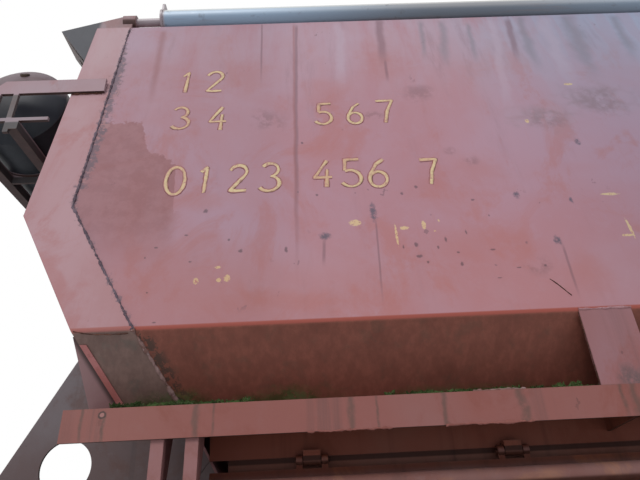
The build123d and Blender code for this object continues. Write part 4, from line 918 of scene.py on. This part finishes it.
# columns: height of the row's middle, then place of each number's left edge and the number
numberRows = [(3.351, [(-4.49, "1"), (-4.35, "2")]),
              (3.07, [(-4.48, "3"), (-4.31, "4"), (-3.79, "5"), (-3.64, "6"), (-3.49, "7")]),
              (2.664, [(-4.46, "0"), (-4.33, "1"), (-4.19, "2"), (-4.05, "3"),
                       (-3.82, "4"), (-3.69, "5"), (-3.58, "6"), (-3.34, "7")])]
# each coat of paint: half its stroke's width, its flatness, its finish
numbers = {"seed": 5, "height": 0.168, "width": 0.8, "lift": 0.0006, "middle": 3.0,
           "coats": {"number_edges": (0.0118, 0.03, "brushEdge"), "painted_numbers": (0.0082, 0.07, "brushedPaint")}}


def brushedPaint(name, pale, faded, bare, least):
    s = Surface(name)
    worn = s.step(s.noise(48, 6, 0.75, distort=0.6), least, least + 0.14)
    tone = s.mix(s.step(s.noise(6, 3, 0.5), 0.35, 0.62), faded, pale)
    return s.finish(s.mix(worn, bare, tone), 0.62, normal=s.relief(s.noise(90, 4, 0.7), 0.0006, 0.8))


materials["brushedPaint"] = brushedPaint("brushedPaint", (0.61, 0.46, 0.26), (0.55, 0.35, 0.21),
                                         (0.4, 0.21, 0.17), 0.36)
materials["brushEdge"] = brushedPaint("brushEdge", (0.29, 0.1, 0.085), (0.34, 0.12, 0.1),
                                      (0.375, 0.165, 0.165), 0.46)


# plane of the photographed side, with its origin at a height
def nearPanel(z):
    across, along = Vector((1, 0, 0)), Vector((0, lean, 1)).normalized()
    place = Vector((0, -sideAt(z), z)) + across.cross(along) * numbers["lift"]
    return Matrix.Translation(place) @ Matrix((across, along, across.cross(along))).transposed().to_4x4()


rand = Random(numbers["seed"])
strokes = []
for middle, row in numberRows:
    for left, digit in row:
        tilt = rand.uniform(-0.04, 0.05)
        size = numbers["height"] * rand.uniform(0.94, 1.06)
        base = (middle - numbers["middle"]) * hypot(1, lean) - size / 2 + rand.uniform(-0.008, 0.008)
        for stroke in numberStrokes[digit]:
            strokes.append([(left + (u * numbers["width"] + v * tilt) * size, base + v * size, 0)
                            for u, v in stroke])
for name, (width, flat, finish) in numbers["coats"].items():
    coat = grown(name, polyCurve(strokes), beadNodes,
                 {"Spacing": 0.005, "Thickness": width, "Unevenness": 0.28, "Lumps": 11.0, "Wander": 0.005}, finish)
    coat.data.transform(nearPanel(numbers["middle"]) @ Matrix.Diagonal((1, 1, flat, 1)))


# stage: pale floor, white surroundings, soft light
stageLook = {"floor": 0.78, "floorHalf": 60, "sky": (0.66, 0.7, 0.76), "skyStrength": 0.9, "sun": 1.4, "sunAngle": 24,
             "sunTilt": 48, "sunTurn": -22}


def plainFloor():
    half = stageLook["floorHalf"]
    mesh = meshOf([(-half, -half, 0), (half, -half, 0), (half, half, 0), (-half, half, 0)], [(0, 1, 2, 3)])
    floor = bpy.data.objects.new("floor", mesh)
    scene.collection.objects.link(floor)
    s = Surface("paleFloor")
    tone = s.mix(s.noise(0.5, 2, 0.5), (stageLook["floor"],) * 3, (stageLook["floor"] * 1.03,) * 3)
    mesh.materials.append(s.finish(tone, 0.9))


def softWorld():
    world = bpy.data.worlds.new("surroundings")
    world.use_nodes = True
    scene.world = world
    tree = world.node_tree
    light = setInputs(tree, tree.nodes["Background"], {"Color": (*stageLook["sky"], 1),
                                                       "Strength": stageLook["skyStrength"]})
    white = treeNode(tree, "ShaderNodeBackground", {"Color": (1, 1, 1, 1)})
    rays = treeNode(tree, "ShaderNodeLightPath").outputs
    seen = rays["Is Camera Ray"]
    for label in ("Is Glossy Ray", "Is Transmission Ray"):
        seen = treeNode(tree, "ShaderNodeMath", [seen, rays[label]], operation="MAXIMUM").outputs[0]
    choice = treeNode(tree, "ShaderNodeMixShader", [seen, light.outputs[0], white.outputs[0]])
    tree.links.new(choice.outputs[0], tree.nodes["World Output"].inputs["Surface"])


def softSun():
    data = bpy.data.lights.new("sun", "SUN")
    data.energy = stageLook["sun"]
    data.angle = radians(stageLook["sunAngle"])
    sun = bpy.data.objects.new("sun", data)
    sun.rotation_euler = (radians(stageLook["sunTilt"]), 0, radians(stageLook["sunTurn"]))
    scene.collection.objects.link(sun)


plainFloor()
softWorld()
softSun()
scene.view_settings.view_transform = "Standard"

print("stage set")
